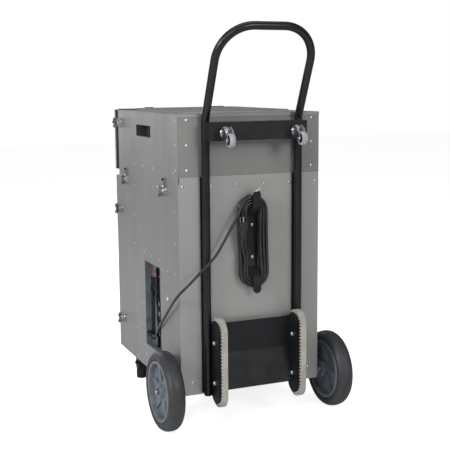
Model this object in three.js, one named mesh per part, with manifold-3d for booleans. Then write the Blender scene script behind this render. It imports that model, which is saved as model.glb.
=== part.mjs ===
// Commercial dehumidifier: a cooling section and a lift-off fan section of sheet metal, latched together
// and carried on a tubular hand truck with two wheels, belt stair climbers and two swivel casters.
// Millimetres, +Z up, the front faces -Y and the machine's left is +X. The origin is on the floor, in
// the middle of the footprint. Inside this file y = 0 is the back of the casing; the root group moves it.
import * as THREE from "three";
import { mergeVertices } from "three/addons/utils/BufferGeometryUtils.js";
import Module from "manifold-3d";

const wasm = await Module();
wasm.setup();

// ---- driving dimensions ----
const GAP = 0.3; // between pieces that touch
const SHEET = 1.6; // casing sheet metal
const OVERLAP = 1; // how far solids that are joined run into each other
const CUTTER = 40; // long enough to cut right through a sheet
const BACK_PLANE_Y = 260; // back of the casing in the part's own frame
const HALF_WIDTH = 243.5; // casing
const EDGE_X = HALF_WIDTH - 0.1; // edges of the back, the roof and the fronts
const CASE_FRONT_Y = -628;
const CASE_BOTTOM_Z = 103;
const CASE_TOP_Z = 993.2;
const SIDE_SEAM_Z = 776; // fan section over cooling section, at the sides and the front
const BACK_SEAM_Z = 800;
const FLANGE = 16; // turned in along the front of a side panel
const TONGUE_HALF_WIDTH = 240; // lower back panel above the side seam
const ROOF_LIP = { rear: 2.1, low: 983 };
const ROOF_SLOT = { halfLength: 185, front: -560, rear: -90, pitch: 24, width: 9 };
const DOOR_FRONT_Y = -675; // outer face of the upper door
const COVER_FRONT_Y = -668; // outer face of the lower cover
const COVER_BOTTOM_Z = 104;
const COVER_TOP_Z = 753;
const FRONT_GAP = 0.4; // behind the pieces that lift off forwards
const DOOR_SLOT = { halfLength: 190, low: 818, high: 960, pitch: 18, height: 8 };
const FILTER_FRONT_Y = -661;
const FILTER_FRAME = { halfWidth: 242.8, low: 777, topGap: 0.9 };
const FILTER_WINDOW = { halfWidth: 222, low: 797, high: 972 };
const PLEATS = { count: 24, halfWidth: 221.4, front: -655, rear: -636, media: 2, low: 797.7, height: 173.6 };
const BASE_PAN = { play: 0.5, setBack: 2, rear: -22, saddleRear: -3, wallTop: 137, floor: 2.4 };

const BAY = { front: -346, rear: -187, low: 190, high: 483, deep: 221.5 };
const GRIP = { front: -412, rear: -261, low: 911, high: 947, deep: 208 };

const WHEEL_RADIUS = 127;
const WHEEL_X = 294;
const AXLE_Y = -10;
const AXLE_RADIUS = 8;
const AXLE_LENGTH = 644;
const AXLE_PLAY = { hub: 0.4, panel: 0.6 };
const RIM_RADIUS = 98.5;
const TYRE = { bead: 20, halfWidth: 27, shoulder: 20, crown: 9 };
const HUB = { web: 84, webThick: 6, boss: 26, bossLength: 50, spokes: 6, spokeReach: 86, spokeThick: 7 };
const FOOT = { x: 198, y: -555, radius: 19, height: 34, block: 15 };

const TUBE_RADIUS = 12.7;
const POST_X = 159;
const POST_Y = 17;
const POST_BOTTOM_Z = 103;
const HANDLE_BEND_Z = 975;
const HANDLE_TOP_Z = 1252;
const HANDLE_TOP_Y = 142.3;
const HANDLE_CORNER = 110; // centre line radius
const HANDLE_SOFT = 14; // rounding of the bend where the posts lean back
const RAIL = { halfWidth: 14, low: 111 }; // flat rails between the posts and the casing

const CROSSBAR = { halfLength: 165.5, rear: 30.8, front: 66, low: 912.5, high: 969, wall: 2.5 };
const CASTER = { x: 120, z: 938, wheelY: 124, trail: 21, radius: 21.5, halfWidth: 9 };
const CLIMBER = { inner: 127, outer: 145.8, y: 62.3, low: 76, high: 362, radius: 44.2 };
const CROSS_PLATE = {
  rear: 21.5, front: 24, halfWidth: 126.5, low: 126, high: 335, bendZ: 228, reach: 58, slopeLowZ: 128,
  wall: 2.5,
};
const CLIMBER_BRACKET = { low: 128, high: 310, thick: 3 };
const BELT_BAND = 4;
const BELT_TOOTH = 5.5; // room left inside the band for its teeth
const BELT_PLAY = 0.5;

const SWITCH = { y: -323, z: 454 };
const GLAND = { x: 232.5, z: 226, tipY: -309.7 };
const HOOK = { x: -4, halfWidth: 17, z: 588, halfPlate: 85, rise: 27, reach: 38, lip: 55 };
const HANK = { x: 1, z: 588, half: 51, hole: 25, arcZ: 99, rear: 6.5, front: 32.9 };
const CORD_RADIUS = 4.3;
const PLUG = { x: 49, y: 46, halfWidth: 13, halfDepth: 12, low: 632, high: 658 };

// Rotary latches: a boss on one section, a link from it to a keeper on the other, and a wing that turns.
const LATCH = {
  plate: 245, plateHalf: 17, bossFace: 250.6, bossRadius: 16, link: 1.6, discRadius: 14,
  discThick: 3.5, wingTip: 270, wingHalf: 19, wingThick: 5, keeperFace: 248.6, root: 0.5,
};
// Lengths are from the middle of the boss, and the keepers' sizes are along and across the link.
const SECTION_LINK = { length: 42, half: 5, keeperLow: 778, keeperHigh: 790, keeperHalf: 6 };
const FRONT_LINK = { length: 58, half: 6, keeperDepth: 9, keeperHalf: 7, coverSetBack: 5, doorSetBack: 4 };
const SECTION_LATCH_Z = 748;
const SECTION_LATCH_Y = [-530, -122];
const DOOR_LATCH_Y = -608;
const UPPER_LATCH_Z = 948;
const LOWER_LATCH_Z = [635, 222];

const BLOWER = {
  y: -250, z: 880, wheel: 74, halfLength: 80, inlet: 62, scroll: 98, scrollDegrees: 280, housingHalf: 105,
  wall: 2, blades: 12,
};
const MOTOR_FOOT = { x0: 125, x1: 190, half: 34, low: 792, high: 850 };
const COIL = { halfLength: 202, low: 330, high: 740, plate: 2.1, inset: 3, bend: 6 };
const TRAY = { halfLength: 215, front: -485, rear: -368, low: 296, high: 326, wall: 2 };
const TRAY_SPOUT = { x: -190, y: -380, z: 287, radius: 9, bore: 6 };
const COMPRESSOR = { x: 70, y: -190, hollow: 72, pipe: 5 };

// ---- materials ----
const paint = (colour, roughness, metalness = 0) =>
  new THREE.MeshStandardMaterial({ color: colour, roughness, metalness });
const greyPaint = paint(0x8f8f8f, 0.5);
const backPaint = paint(0x84827f, 0.55);
const blackPaint = paint(0x1f2023, 0.4);
const blackPlastic = paint(0x17181a, 0.6);
const filterFrameFoam = paint(0x101112, 0.9);
const steel = paint(0xb9bbbd, 0.3, 1);
const zinc = paint(0xa9abad, 0.38, 1);
const aluminium = paint(0xb4b7ba, 0.45, 1);
const tyreRubber = paint(0x2f3033, 0.85);
const beltRubber = paint(0xa8a49c, 0.8);
const casterRubber = paint(0xa3a4a7, 0.7);
const hubPlastic = paint(0x5a6068, 0.55);
const cordRubber = paint(0x1b1c1e, 0.6);
const filterPaper = paint(0xcfd0cb, 0.95);
const redPlastic = paint(0xa32018, 0.4);

// ---- solids ----
function toSolid(geometry) {
  const bare = geometry.clone();
  bare.deleteAttribute("normal");
  bare.deleteAttribute("uv");
  const merged = mergeVertices(bare, 1e-4);
  const triVerts = new Uint32Array(merged.index.array);
  const vertProperties = merged.attributes.position.array;
  return new wasm.Manifold(new wasm.Mesh({ numProp: 3, vertProperties, triVerts }));
}

function toGeometry(solid) {
  const { numProp, vertProperties, triVerts } = solid.getMesh();
  const position = new Float32Array((vertProperties.length / numProp) * 3);
  for (let i = 0; i < position.length / 3; i++) {
    position.set(vertProperties.subarray(i * numProp, i * numProp + 3), i * 3);
  }
  const geometry = new THREE.BufferGeometry();
  geometry.setAttribute("position", new THREE.BufferAttribute(position, 3));
  geometry.setIndex(new THREE.BufferAttribute(triVerts, 1));
  geometry.computeVertexNormals();
  return geometry;
}

function piece(group, name, solid, material) {
  const mesh = new THREE.Mesh(toGeometry(solid), material);
  mesh.name = name;
  group.add(mesh);
  return mesh;
}

// The same solid as a left piece and as its mirror image on the right.
function pair(group, name, solid, material) {
  piece(group, `left_${name}`, solid, material);
  piece(group, `right_${name}`, solid, material).scale.x = -1;
}

const joined = (solids) => solids.reduce((all, solid) => all.add(solid));

function box(x0, x1, y0, y1, z0, z1) {
  const geometry = new THREE.BoxGeometry(x1 - x0, y1 - y0, z1 - z0);
  return toSolid(geometry.translate((x0 + x1) / 2, (y0 + y1) / 2, (z0 + z1) / 2));
}

const AXES = {
  x: new THREE.Matrix4().makeRotationZ(-Math.PI / 2),
  y: new THREE.Matrix4(),
  z: new THREE.Matrix4().makeRotationX(Math.PI / 2),
};

// A round bar of the given length, centred on [x, y, z].
function rod(axis, radius, length, centre, sides = 20) {
  const geometry = new THREE.CylinderGeometry(radius, radius, length, sides);
  return toSolid(geometry.applyMatrix4(AXES[axis]).translate(...centre));
}

// A profile of [radius, height] points turned round an axis through [x, y, z].
function turned(axis, profile, centre, sides = 24) {
  const points = profile.map(([radius, height]) => new THREE.Vector2(radius, height));
  const geometry = new THREE.LatheGeometry(points, sides);
  return toSolid(geometry.applyMatrix4(AXES[axis]).translate(...centre));
}

function extrude(points, depth, holes = []) {
  const shape = new THREE.Shape(points.map(([u, v]) => new THREE.Vector2(u, v)));
  for (const hole of holes) {
    shape.holes.push(new THREE.Path(hole.map(([u, v]) => new THREE.Vector2(u, v))));
  }
  return new THREE.ExtrudeGeometry(shape, { depth, bevelEnabled: false });
}

// An outline of [y, z] points, between two x planes.
function alongX(points, x0, x1, holes) {
  const turn = new THREE.Matrix4().makeBasis(
    new THREE.Vector3(0, 1, 0),
    new THREE.Vector3(0, 0, 1),
    new THREE.Vector3(1, 0, 0),
  );
  return toSolid(extrude(points, x1 - x0, holes).applyMatrix4(turn).translate(x0, 0, 0));
}

// An outline of [x, z] points, between two y planes.
function alongY(points, y0, y1, holes) {
  const turn = new THREE.Matrix4().makeBasis(
    new THREE.Vector3(1, 0, 0),
    new THREE.Vector3(0, 0, 1),
    new THREE.Vector3(0, -1, 0),
  );
  return toSolid(extrude(points, y1 - y0, holes).applyMatrix4(turn).translate(0, y1, 0));
}

function arc(u, v, radius, from, to, steps) {
  return Array.from({ length: steps + 1 }, (_, i) => {
    const angle = from + ((to - from) * i) / steps;
    return [u + radius * Math.cos(angle), v + radius * Math.sin(angle)];
  });
}

// A long shape with two round ends, standing upright.
function obround(u, v, radius, halfStraight, steps) {
  return [
    ...arc(u, v + halfStraight, radius, 0, Math.PI, steps),
    ...arc(u, v - halfStraight, radius, Math.PI, 2 * Math.PI, steps),
  ];
}

// ---- casing ----
// A shallow tray of sheet metal that opens towards +Y.
function tray(halfWidth, y0, y1, z0, z1) {
  const outside = box(-halfWidth, halfWidth, y0, y1, z0, z1);
  const inner = halfWidth - SHEET;
  return outside.subtract(box(-inner, inner, y0 + SHEET, y1 + 1, z0 + SHEET, z1 - SHEET));
}

// The fixed half of a rotary latch: plate, boss and link, with the link running up or towards the front.
function latchBase(y, z, low, high) {
  const { plate, plateHalf, bossFace, bossRadius, link } = LATCH;
  const foot = HALF_WIDTH - LATCH.root;
  const boss = rod("x", bossRadius, bossFace - foot, [(foot + bossFace) / 2, y, z], 20);
  return joined([
    box(foot, plate, y - plateHalf, y + plateHalf, z - plateHalf, z + plateHalf),
    boss,
    box(bossFace - link, bossFace, low.y, high.y, low.z, high.z),
  ]);
}

function sectionLatchBase(y) {
  const z = SECTION_LATCH_Z;
  const { length, half } = SECTION_LINK;
  return latchBase(y, z, { y: y - half, z }, { y: y + half, z: z + length });
}

function doorLatchBase(z) {
  const y = DOOR_LATCH_Y;
  const { length, half } = FRONT_LINK;
  return latchBase(y, z, { y: y - length, z: z - half }, { y, z: z + half });
}

function sectionLatchKeeper(y) {
  const { keeperLow, keeperHigh, keeperHalf } = SECTION_LINK;
  const root = HALF_WIDTH - LATCH.root;
  return box(root, LATCH.keeperFace, y - keeperHalf, y + keeperHalf, keeperLow, keeperHigh);
}

function frontLatchKeeper(y, z) {
  const { keeperDepth, keeperHalf } = FRONT_LINK;
  const root = EDGE_X - LATCH.root;
  return box(root, LATCH.keeperFace, y, y + keeperDepth, z - keeperHalf, z + keeperHalf);
}

const axleHole = () =>
  rod("x", AXLE_RADIUS + AXLE_PLAY.panel, CUTTER, [HALF_WIDTH, AXLE_Y, WHEEL_RADIUS]);

// A window through the side panel, a little larger than the recess that sits in it.
function sideWindow({ front, rear, low, high }) {
  const rim = SHEET + GAP;
  const half = CUTTER / 2;
  return box(
    HALF_WIDTH - half, HALF_WIDTH + half, front - rim, rear + rim, low - rim, high + rim,
  );
}

function sidePanel(z0, z1) {
  const sheet = box(HALF_WIDTH - SHEET, HALF_WIDTH, CASE_FRONT_Y, -SHEET - GAP, z0, z1);
  const flange = box(HALF_WIDTH - FLANGE, HALF_WIDTH, CASE_FRONT_Y, CASE_FRONT_Y + SHEET, z0, z1);
  return sheet.add(flange);
}

function lowerSidePanel(withBay) {
  let panel = sidePanel(CASE_BOTTOM_Z, SIDE_SEAM_Z - GAP);
  if (withBay) {
    panel = panel.subtract(sideWindow(BAY));
  }
  const bases = [...SECTION_LATCH_Y.map(sectionLatchBase), ...LOWER_LATCH_Z.map(doorLatchBase)];
  return joined([panel.subtract(axleHole()), ...bases]);
}

function upperSidePanel() {
  const panel = sidePanel(SIDE_SEAM_Z + GAP, CASE_TOP_Z - SHEET - GAP).subtract(sideWindow(GRIP));
  return joined([panel, ...SECTION_LATCH_Y.map(sectionLatchKeeper), doorLatchBase(UPPER_LATCH_Z)]);
}

// A recessed box let into the side of the casing, open to the side.
function sideRecess({ front, rear, low, high, deep }) {
  const outside = box(
    deep - SHEET, EDGE_X, front - SHEET, rear + SHEET, low - SHEET, high + SHEET,
  );
  return outside.subtract(box(deep, EDGE_X + CUTTER, front, rear, low, high));
}

function basePan() {
  const { play, setBack, rear, saddleRear, wallTop, floor } = BASE_PAN;
  const x = HALF_WIDTH - SHEET - play;
  const front = CASE_FRONT_Y + setBack;
  const outside = box(-x, x, front, rear, CASE_BOTTOM_Z, wallTop);
  const inside = box(
    -x + SHEET, x - SHEET, front + SHEET, rear - SHEET, CASE_BOTTOM_Z + floor, wallTop + CUTTER,
  );
  const saddle = box(-x, x, rear - OVERLAP, saddleRear, wallTop - SHEET, wallTop);
  return outside.subtract(inside).add(saddle);
}

function lowerBackPanel() {
  const sheet = box(-EDGE_X, EDGE_X, -SHEET, 0, CASE_BOTTOM_Z, SIDE_SEAM_Z);
  const half = TONGUE_HALF_WIDTH;
  return sheet.add(box(-half, half, -SHEET, 0, SIDE_SEAM_Z - OVERLAP, BACK_SEAM_Z - GAP));
}

// Keepers for the latch links on both sides of a front panel whose outer face is at y.
function frontKeepers(y, heights) {
  const places = heights.map((z) => frontLatchKeeper(y, z));
  return joined([...places, ...places.map((keeper) => keeper.mirror([1, 0, 0]))]);
}

function lowerFrontCover() {
  const rear = CASE_FRONT_Y - FRONT_GAP;
  const cover = tray(EDGE_X, COVER_FRONT_Y, rear, COVER_BOTTOM_Z, COVER_TOP_Z);
  return cover.add(frontKeepers(COVER_FRONT_Y + FRONT_LINK.coverSetBack, LOWER_LATCH_Z));
}

function upperFrontDoor() {
  const { halfLength, low, high, pitch, height } = DOOR_SLOT;
  const front = DOOR_FRONT_Y - CUTTER / 2;
  const rear = DOOR_FRONT_Y + SHEET + OVERLAP;
  let door = tray(EDGE_X, DOOR_FRONT_Y, FILTER_FRONT_Y - FRONT_GAP, SIDE_SEAM_Z + GAP, CASE_TOP_Z);
  for (let z = low; z < high; z += pitch) {
    door = door.subtract(box(-halfLength, halfLength, front, rear, z, z + height));
  }
  return door.add(frontKeepers(DOOR_FRONT_Y + FRONT_LINK.doorSetBack, [UPPER_LATCH_Z]));
}

function filterFrame() {
  const { halfWidth, low, topGap } = FILTER_FRAME;
  const rear = CASE_FRONT_Y - FRONT_GAP;
  const outside = box(-halfWidth, halfWidth, FILTER_FRONT_Y, rear, low, CASE_TOP_Z - topGap);
  const half = FILTER_WINDOW.halfWidth;
  const window = box(
    -half, half, FILTER_FRONT_Y - CUTTER, rear + CUTTER, FILTER_WINDOW.low, FILTER_WINDOW.high,
  );
  return outside.subtract(window);
}

function airFilter() {
  const { count, halfWidth, front, rear, media, low, height } = PLEATS;
  const halfPitch = halfWidth / count;
  const frontFace = [];
  for (let i = 0; i <= count * 2; i++) {
    frontFace.push([-halfWidth + i * halfPitch, i % 2 ? rear - media : front]);
  }
  const rearFace = frontFace.map(([x, y]) => [x, y + 2 * media]).reverse();
  const geometry = extrude([...frontFace, ...rearFace], height);
  return toSolid(geometry.translate(0, 0, low));
}

function topGrille() {
  const { halfLength, front, rear, pitch, width } = ROOF_SLOT;
  let panel = box(-EDGE_X, EDGE_X, CASE_FRONT_Y, ROOF_LIP.rear, CASE_TOP_Z - SHEET, CASE_TOP_Z);
  const lip = box(-EDGE_X, EDGE_X, GAP, ROOF_LIP.rear, ROOF_LIP.low, CASE_TOP_Z);
  for (let y = front; y < rear; y += pitch) {
    panel = panel.subtract(
      box(-halfLength, halfLength, y, y + width, CASE_TOP_Z - CUTTER, CASE_TOP_Z + CUTTER),
    );
  }
  return panel.add(lip);
}

// ---- inside the fan section ----
// The spiral outline of the blower housing, from its outlet at the top round to the cut-off. The inset
// one is the hollow inside, which runs out through the top.
function scroll(inset) {
  const { y, z, scroll: radius, scrollDegrees } = BLOWER;
  const steps = 18;
  const shrink = 1; // of the radius at each step
  const top = CASE_TOP_Z - SHEET - GAP + (inset ? CUTTER : 0);
  const wide = radius - inset;
  const turn = THREE.MathUtils.degToRad(scrollDegrees);
  const spiral = Array.from({ length: steps + 1 }, (_, i) => {
    const angle = (-turn * i) / steps;
    const reach = wide - i * shrink;
    return [y + reach * Math.cos(angle), z + reach * Math.sin(angle)];
  });
  const cutOff = spiral[steps];
  return [[y + wide, top], ...spiral, [cutOff[0], top]].reverse();
}

function blowerHousing() {
  const { y, z, inlet, housingHalf, wall } = BLOWER;
  const outside = alongX(scroll(0), -housingHalf, housingHalf);
  const inside = alongX(scroll(wall), wall - housingHalf, housingHalf - wall);
  const inlets = rod("x", inlet, 2 * housingHalf + CUTTER, [0, y, z], 20);
  return outside.subtract(inside).subtract(inlets);
}

function blowerWheel() {
  const { y, z, wheel, halfLength, blades } = BLOWER;
  const disc = 4;
  const rim = 14;
  const bore = 6.4;
  const blade = { deep: 12, thick: 2, pitch: 0.6, inset: 8 };
  const centre = [0, y, z];
  const ring = (x) =>
    rod("x", wheel, disc, [x, y, z], 20).subtract(rod("x", wheel - rim, 2 * disc, [x, y, z], 20));
  const hub = rod("x", wheel, disc, centre, 20).add(rod("x", 2.5 * bore, 30, centre, 12));
  const solids = [hub, ring(halfLength - disc / 2), ring(disc / 2 - halfLength)];
  for (let i = 0; i < blades; i++) {
    const shape = new THREE.BoxGeometry(2 * halfLength - disc / 2, blade.deep, blade.thick);
    shape.rotateX(blade.pitch).translate(0, wheel - blade.inset, 0);
    solids.push(toSolid(shape.rotateX((2 * Math.PI * i) / blades).translate(...centre)));
  }
  return joined(solids).subtract(rod("x", bore, CUTTER, centre, 12));
}

function fanMotor() {
  const { y, z } = BLOWER;
  const { x0, x1, half, low, high } = MOTOR_FOOT;
  const body = turned("x", [[0, 112], [40, 112], [44, 118], [44, 194], [38, 202], [0, 202]], [0, y, z]);
  const shaft = { radius: 6, from: -30, to: 120 };
  const bar = rod("x", shaft.radius, shaft.to - shaft.from, [(shaft.from + shaft.to) / 2, y, z], 12);
  return joined([body, bar, box(x0, x1, y - half, y + half, low, high)]);
}

// ---- inside the cooling section ----
// A block of fins between two end plates, with the tubes' return bends standing out of one of them.
function coil(front, rear) {
  const { halfLength, low, high, plate, inset, bend } = COIL;
  const middle = (front + rear) / 2;
  const fins = box(
    -halfLength, halfLength, front + inset, rear - inset, low + inset, high - inset,
  );
  const solids = [fins];
  for (const x of [-halfLength - plate, halfLength - 0.1]) {
    solids.push(box(x, x + plate + 0.1, front, rear, low, high));
  }
  const bendX = halfLength + 9;
  for (let z = low + 50; z < high - 10; z += 110) {
    solids.push(rod("z", bend, 6 * bend, [bendX, middle, z], 6));
    for (const end of [-2 * bend, 2 * bend]) {
      solids.push(rod("x", bend, 14, [bendX - 4, middle, z + end], 6));
    }
  }
  return joined(solids);
}

function drainPan() {
  const { halfLength, front, rear, low, high, wall } = TRAY;
  const { x, y, z, radius, bore } = TRAY_SPOUT;
  const outside = box(-halfLength, halfLength, front, rear, low, high);
  const inner = halfLength - wall;
  const inside = box(-inner, inner, front + wall, rear - wall, low + wall, high + CUTTER);
  const spout = rod("z", radius, 24, [x, y, z]);
  return outside.subtract(inside).add(spout).subtract(rod("z", bore, 2 * CUTTER, [x, y, z]));
}

function compressor() {
  const { x, y, hollow, pipe } = COMPRESSOR;
  const profile = [
    [0, 108], [88, 108], [88, 116], [74, 122], [80, 140], [80, 320], [70, 352], [30, 366], [0, 368],
  ];
  const shell = turned("z", profile, [x, y, 0], 20);
  const inside = rod("z", hollow, 200, [x, y, 205], 20);
  return shell.subtract(inside).add(rod("z", pipe, CUTTER, [x, y + 40, 372], 8));
}

function condensatePump() {
  const tank = box(-200, -70, -270, -150, 108, 176);
  const head = box(-185, -110, -250, -170, 170, 205);
  const motor = rod("z", 26, 40, [-100, -210, 188]);
  return joined([tank, head, motor]);
}

// ---- control bay ----
function controlBay() {
  const { y, z } = SWITCH;
  const bezel = { root: BAY.deep - 0.5, face: 226.5, halfWidth: 11, halfHeight: 16, rimY: 3, rimZ: 3.5 };
  const outside = box(
    bezel.root, bezel.face,
    y - bezel.halfWidth, y + bezel.halfWidth, z - bezel.halfHeight, z + bezel.halfHeight,
  );
  const [halfY, halfZ] = [bezel.halfWidth - bezel.rimY, bezel.halfHeight - bezel.rimZ];
  const seat = box(BAY.deep, HALF_WIDTH, y - halfY, y + halfY, z - halfZ, z + halfZ);
  return sideRecess(BAY).add(outside.subtract(seat));
}

function powerSwitch() {
  const { y, z } = SWITCH;
  const halfWidth = 7;
  const rocker = [[224.2, z - 10], [228.6, z - 11], [227.4, z], [230.4, z + 11], [224.2, z + 10]];
  return alongY(rocker, y - halfWidth, y + halfWidth);
}

// A hose tail that points down from a round base, with a small valve stem on its face.
function drainFitting() {
  const [y, z] = [-313, 392];
  const base = rod("x", 10, 12, [BAY.deep + GAP + 6, y, z]);
  const tail = rod("z", 6.5, 30, [BAY.deep + 8, y, z - 10]);
  const stem = rod("x", 6, 8, [BAY.deep + 13.5, y, z]);
  return joined([base, tail, stem]);
}

function cordGland() {
  const root = BAY.front + GAP;
  const length = GLAND.tipY - root;
  const profile = [[0, 0], [9.4, 0], [9.4, 8], [7.6, 9], [5.6, length], [0, length]];
  return turned("y", profile, [GLAND.x, root, GLAND.z]);
}

// ---- power cord, stored on its hooks ----
// The stretch between the gland and the hank: straight out, up along the side, round the corner.
const CORD_ROUTE = [
  [232.5, -309.4, 226], [232.8, -292, 227], [234.5, -270, 234], [240.5, -240, 251],
  [246.5, -210, 270], [251.5, -180, 290], [254.5, -150, 309.5], [258.5, -100, 344],
  [261.5, -55, 375], [264, -15, 403], [264.5, 15, 424], [260.5, 42, 445], [249.5, 60, 465],
  [234, 67, 482], [215, 64, 497], [197, 58, 510], [178, 52, 523], [159, 47, 538],
  [142, 43.5, 553], [127, 41, 571], [110, 39.5, 597], [94, 39, 623], [78, 38.5, 649],
  [66, 38, 668], [58.5, 37.6, 681],
];

function regular(radius, sides) {
  return arc(0, 0, radius, 0, 2 * Math.PI, sides).slice(0, sides);
}

function sweep(outline, path, steps) {
  const shape = new THREE.Shape(outline.map(([u, v]) => new THREE.Vector2(u, v)));
  return toSolid(new THREE.ExtrudeGeometry(shape, { steps, extrudePath: path, bevelEnabled: false }));
}

function powerCord() {
  const path = new THREE.CatmullRomCurve3(CORD_ROUTE.map((point) => new THREE.Vector3(...point)));
  return sweep(regular(CORD_RADIUS, 8), path, 40);
}

function cordHank() {
  const hole = obround(HANK.x, HANK.z, HANK.hole, HANK.arcZ, 10).reverse();
  const outline = obround(HANK.x, HANK.z, HANK.half, HANK.arcZ, 14);
  return alongY(outline, HANK.rear, HANK.front, [hole]);
}

function powerPlug() {
  const { x, y, halfWidth, halfDepth, low, high } = PLUG;
  const body = box(x - halfWidth, x + halfWidth, y - halfDepth, y + halfDepth, low, high);
  const sleeve = turned("z", [[0, 608], [6, 608], [7.5, 620], [12, 634], [0, 634]], [x, y, 0], 12);
  const prong = { spacing: 6.4, half: 0.8, length: 16 };
  const top = high + prong.length;
  const blades = [x - prong.spacing, x + prong.spacing].map((middle) =>
    box(middle - prong.half, middle + prong.half, y - 6, y + 1, high - OVERLAP, top),
  );
  const earthPin = rod("z", 2.4, 20, [x, y + 6.5, high + 7], 8);
  return joined([body, sleeve, ...blades, earthPin]);
}

function cordWrap() {
  const { x, halfWidth, z, halfPlate, rise, reach, lip } = HOOK;
  const sheet = 3;
  const bend = halfPlate - 2.5;
  const profile = [
    [GAP, 0], [GAP + sheet, 0], [GAP + sheet, bend], [reach + sheet, bend + rise],
    [reach + sheet, bend + rise + lip], [reach, bend + rise + lip], [reach, halfPlate + rise],
    [GAP, halfPlate],
  ];
  const hook = (side) =>
    alongX(profile.map(([u, v]) => [u, z + side * v]), x - halfWidth, x + halfWidth);
  return hook(1).add(hook(-1));
}

// ---- hand truck ----
// A curve that is sampled exactly at its stations when it is swept with one step between each two.
class StationCurve extends THREE.Curve {
  constructor(stations) {
    super();
    this.stations = stations;
    this.steps = stations.length - 1;
  }

  getPoint(t) {
    const place = THREE.MathUtils.clamp(t, 0, 1) * this.steps;
    const i = Math.min(Math.floor(place + 1e-6), this.steps - 1);
    return this.stations[i].clone().lerp(this.stations[i + 1], place - i);
  }

  getPointAt(t) {
    return this.getPoint(t);
  }

  getTangentAt(t) {
    const step = 1 / this.steps;
    return this.getPoint(t + step).sub(this.getPoint(t - step)).normalize();
  }
}

// The bent handle's centre line, from the left post over the top bar to the right post.
function handlePath() {
  const lean = new THREE.Vector3(0, HANDLE_TOP_Y - POST_Y, HANDLE_TOP_Z - HANDLE_BEND_Z).normalize();
  const bend = new THREE.Vector3(POST_X, POST_Y, HANDLE_BEND_Z);
  const below = bend.clone().setZ(HANDLE_BEND_Z - HANDLE_SOFT);
  const above = bend.clone().addScaledVector(lean, HANDLE_SOFT);
  const knee = new THREE.QuadraticBezierCurve3(below, bend, above).getPoints(4);
  const top = new THREE.Vector3(POST_X - HANDLE_CORNER, HANDLE_TOP_Y, HANDLE_TOP_Z);
  const centre = top.clone().addScaledVector(lean, -HANDLE_CORNER);
  const corner = arc(0, 0, HANDLE_CORNER, 0, Math.PI / 2, 7).map(([across, up]) =>
    centre.clone().addScaledVector(lean, up).setX(centre.x + across),
  );
  const left = [bend.clone().setZ(HANDLE_BEND_Z - 60), ...knee, ...corner];
  const right = left.map((point) => point.clone().setX(-point.x)).reverse();
  return new StationCurve([...left, ...right]);
}

function handleFrame() {
  const legTop = HANDLE_BEND_Z - 50;
  const length = legTop - POST_BOTTOM_Z;
  const railTop = BACK_SEAM_Z - 0.5;
  const path = handlePath();
  const solids = [sweep(regular(TUBE_RADIUS, 12), path, path.steps)];
  for (const side of [1, -1]) {
    const x = side * POST_X;
    solids.push(rod("z", TUBE_RADIUS, length, [x, POST_Y, POST_BOTTOM_Z + length / 2], 12));
    solids.push(
      box(
        x - RAIL.halfWidth, x + RAIL.halfWidth, GAP, POST_Y - TUBE_RADIUS + 1.2, RAIL.low, railTop,
      ),
    );
  }
  return joined(solids);
}

function upperCrossbar() {
  const { halfLength, rear, front, low, high, wall } = CROSSBAR;
  const outside = box(-halfLength, halfLength, rear, front, low, high);
  const inner = halfLength - wall;
  return outside.subtract(box(-inner, inner, rear - CUTTER, front - wall, low + wall, high - wall));
}

// An upright sheet between the climbers, and below it a sheet that slopes out to a small level lip.
function lowerCrossPlate() {
  const { rear, front, halfWidth, low, high, bendZ, reach, slopeLowZ, wall } = CROSS_PLATE;
  const sheet = alongX(
    [[rear, bendZ - 6], [front + 0.4, bendZ - 6], [front + 0.4, high], [rear, high]],
    -halfWidth, halfWidth,
  );
  const slope = alongX(
    [[front, bendZ], [reach - 2.8, low], [reach, low], [reach, slopeLowZ], [front + 0.4, bendZ + 8]],
    -halfWidth, halfWidth,
  );
  const gussetOutline = [
    [rear, low], [reach - 1, low], [reach - 1, low + 5], [front, bendZ + 8], [rear, bendZ + 8],
  ];
  const gusset = (x) => alongX(gussetOutline, x, x + wall);
  return joined([sheet, slope, gusset(-halfWidth), gusset(halfWidth - wall)]);
}

function climberPlate() {
  const { inner, outer, y, low, high, radius } = CLIMBER;
  const core = radius - BELT_BAND - BELT_TOOTH - BELT_PLAY;
  const middle = (low + high) / 2;
  const halfStraight = (high - low) / 2 - radius;
  const plate = alongX(obround(y, middle, core, halfStraight, 8), inner, outer + OVERLAP);
  const { thick, low: bracketLow, high: bracketHigh } = CLIMBER_BRACKET;
  const bracket = box(outer + GAP, outer + thick, POST_Y + 8, y, bracketLow, bracketHigh);
  return plate.add(bracket);
}

function climberBelt() {
  const { inner, outer, y, low, high, radius } = CLIMBER;
  const middle = (low + high) / 2;
  const halfStraight = (high - low) / 2 - radius;
  const outside = obround(y, middle, radius, halfStraight, 14);
  const inside = obround(y, middle, radius - BELT_BAND, halfStraight, 12);
  return alongX(outside, inner, outer, [inside]);
}

function wheelHub() {
  const rim = [
    [88, -26], [RIM_RADIUS - GAP, -26], [RIM_RADIUS - GAP, 26], [88, 26], [82, 18], [82, -18], [88, -26],
  ];
  const { web, webThick, boss, bossLength, spokes, spokeReach, spokeThick } = HUB;
  const solids = [turned("x", rim, [0, 0, 0], 32), rod("x", web, webThick, [0, 0, 0], 32)];
  solids.push(rod("x", boss, bossLength, [-1, 0, 0], 16));
  const spokeRoot = boss - 4;
  for (let i = 0; i < spokes; i++) {
    const rib = new THREE.BoxGeometry(34, spokeReach - spokeRoot, spokeThick);
    rib.translate(0, (spokeReach + spokeRoot) / 2, 0);
    solids.push(toSolid(rib.rotateX((2 * Math.PI * (i + 0.25)) / spokes)));
  }
  return joined(solids).subtract(rod("x", AXLE_RADIUS + AXLE_PLAY.hub, 2 * CUTTER, [0, 0, 0], 16));
}

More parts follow.
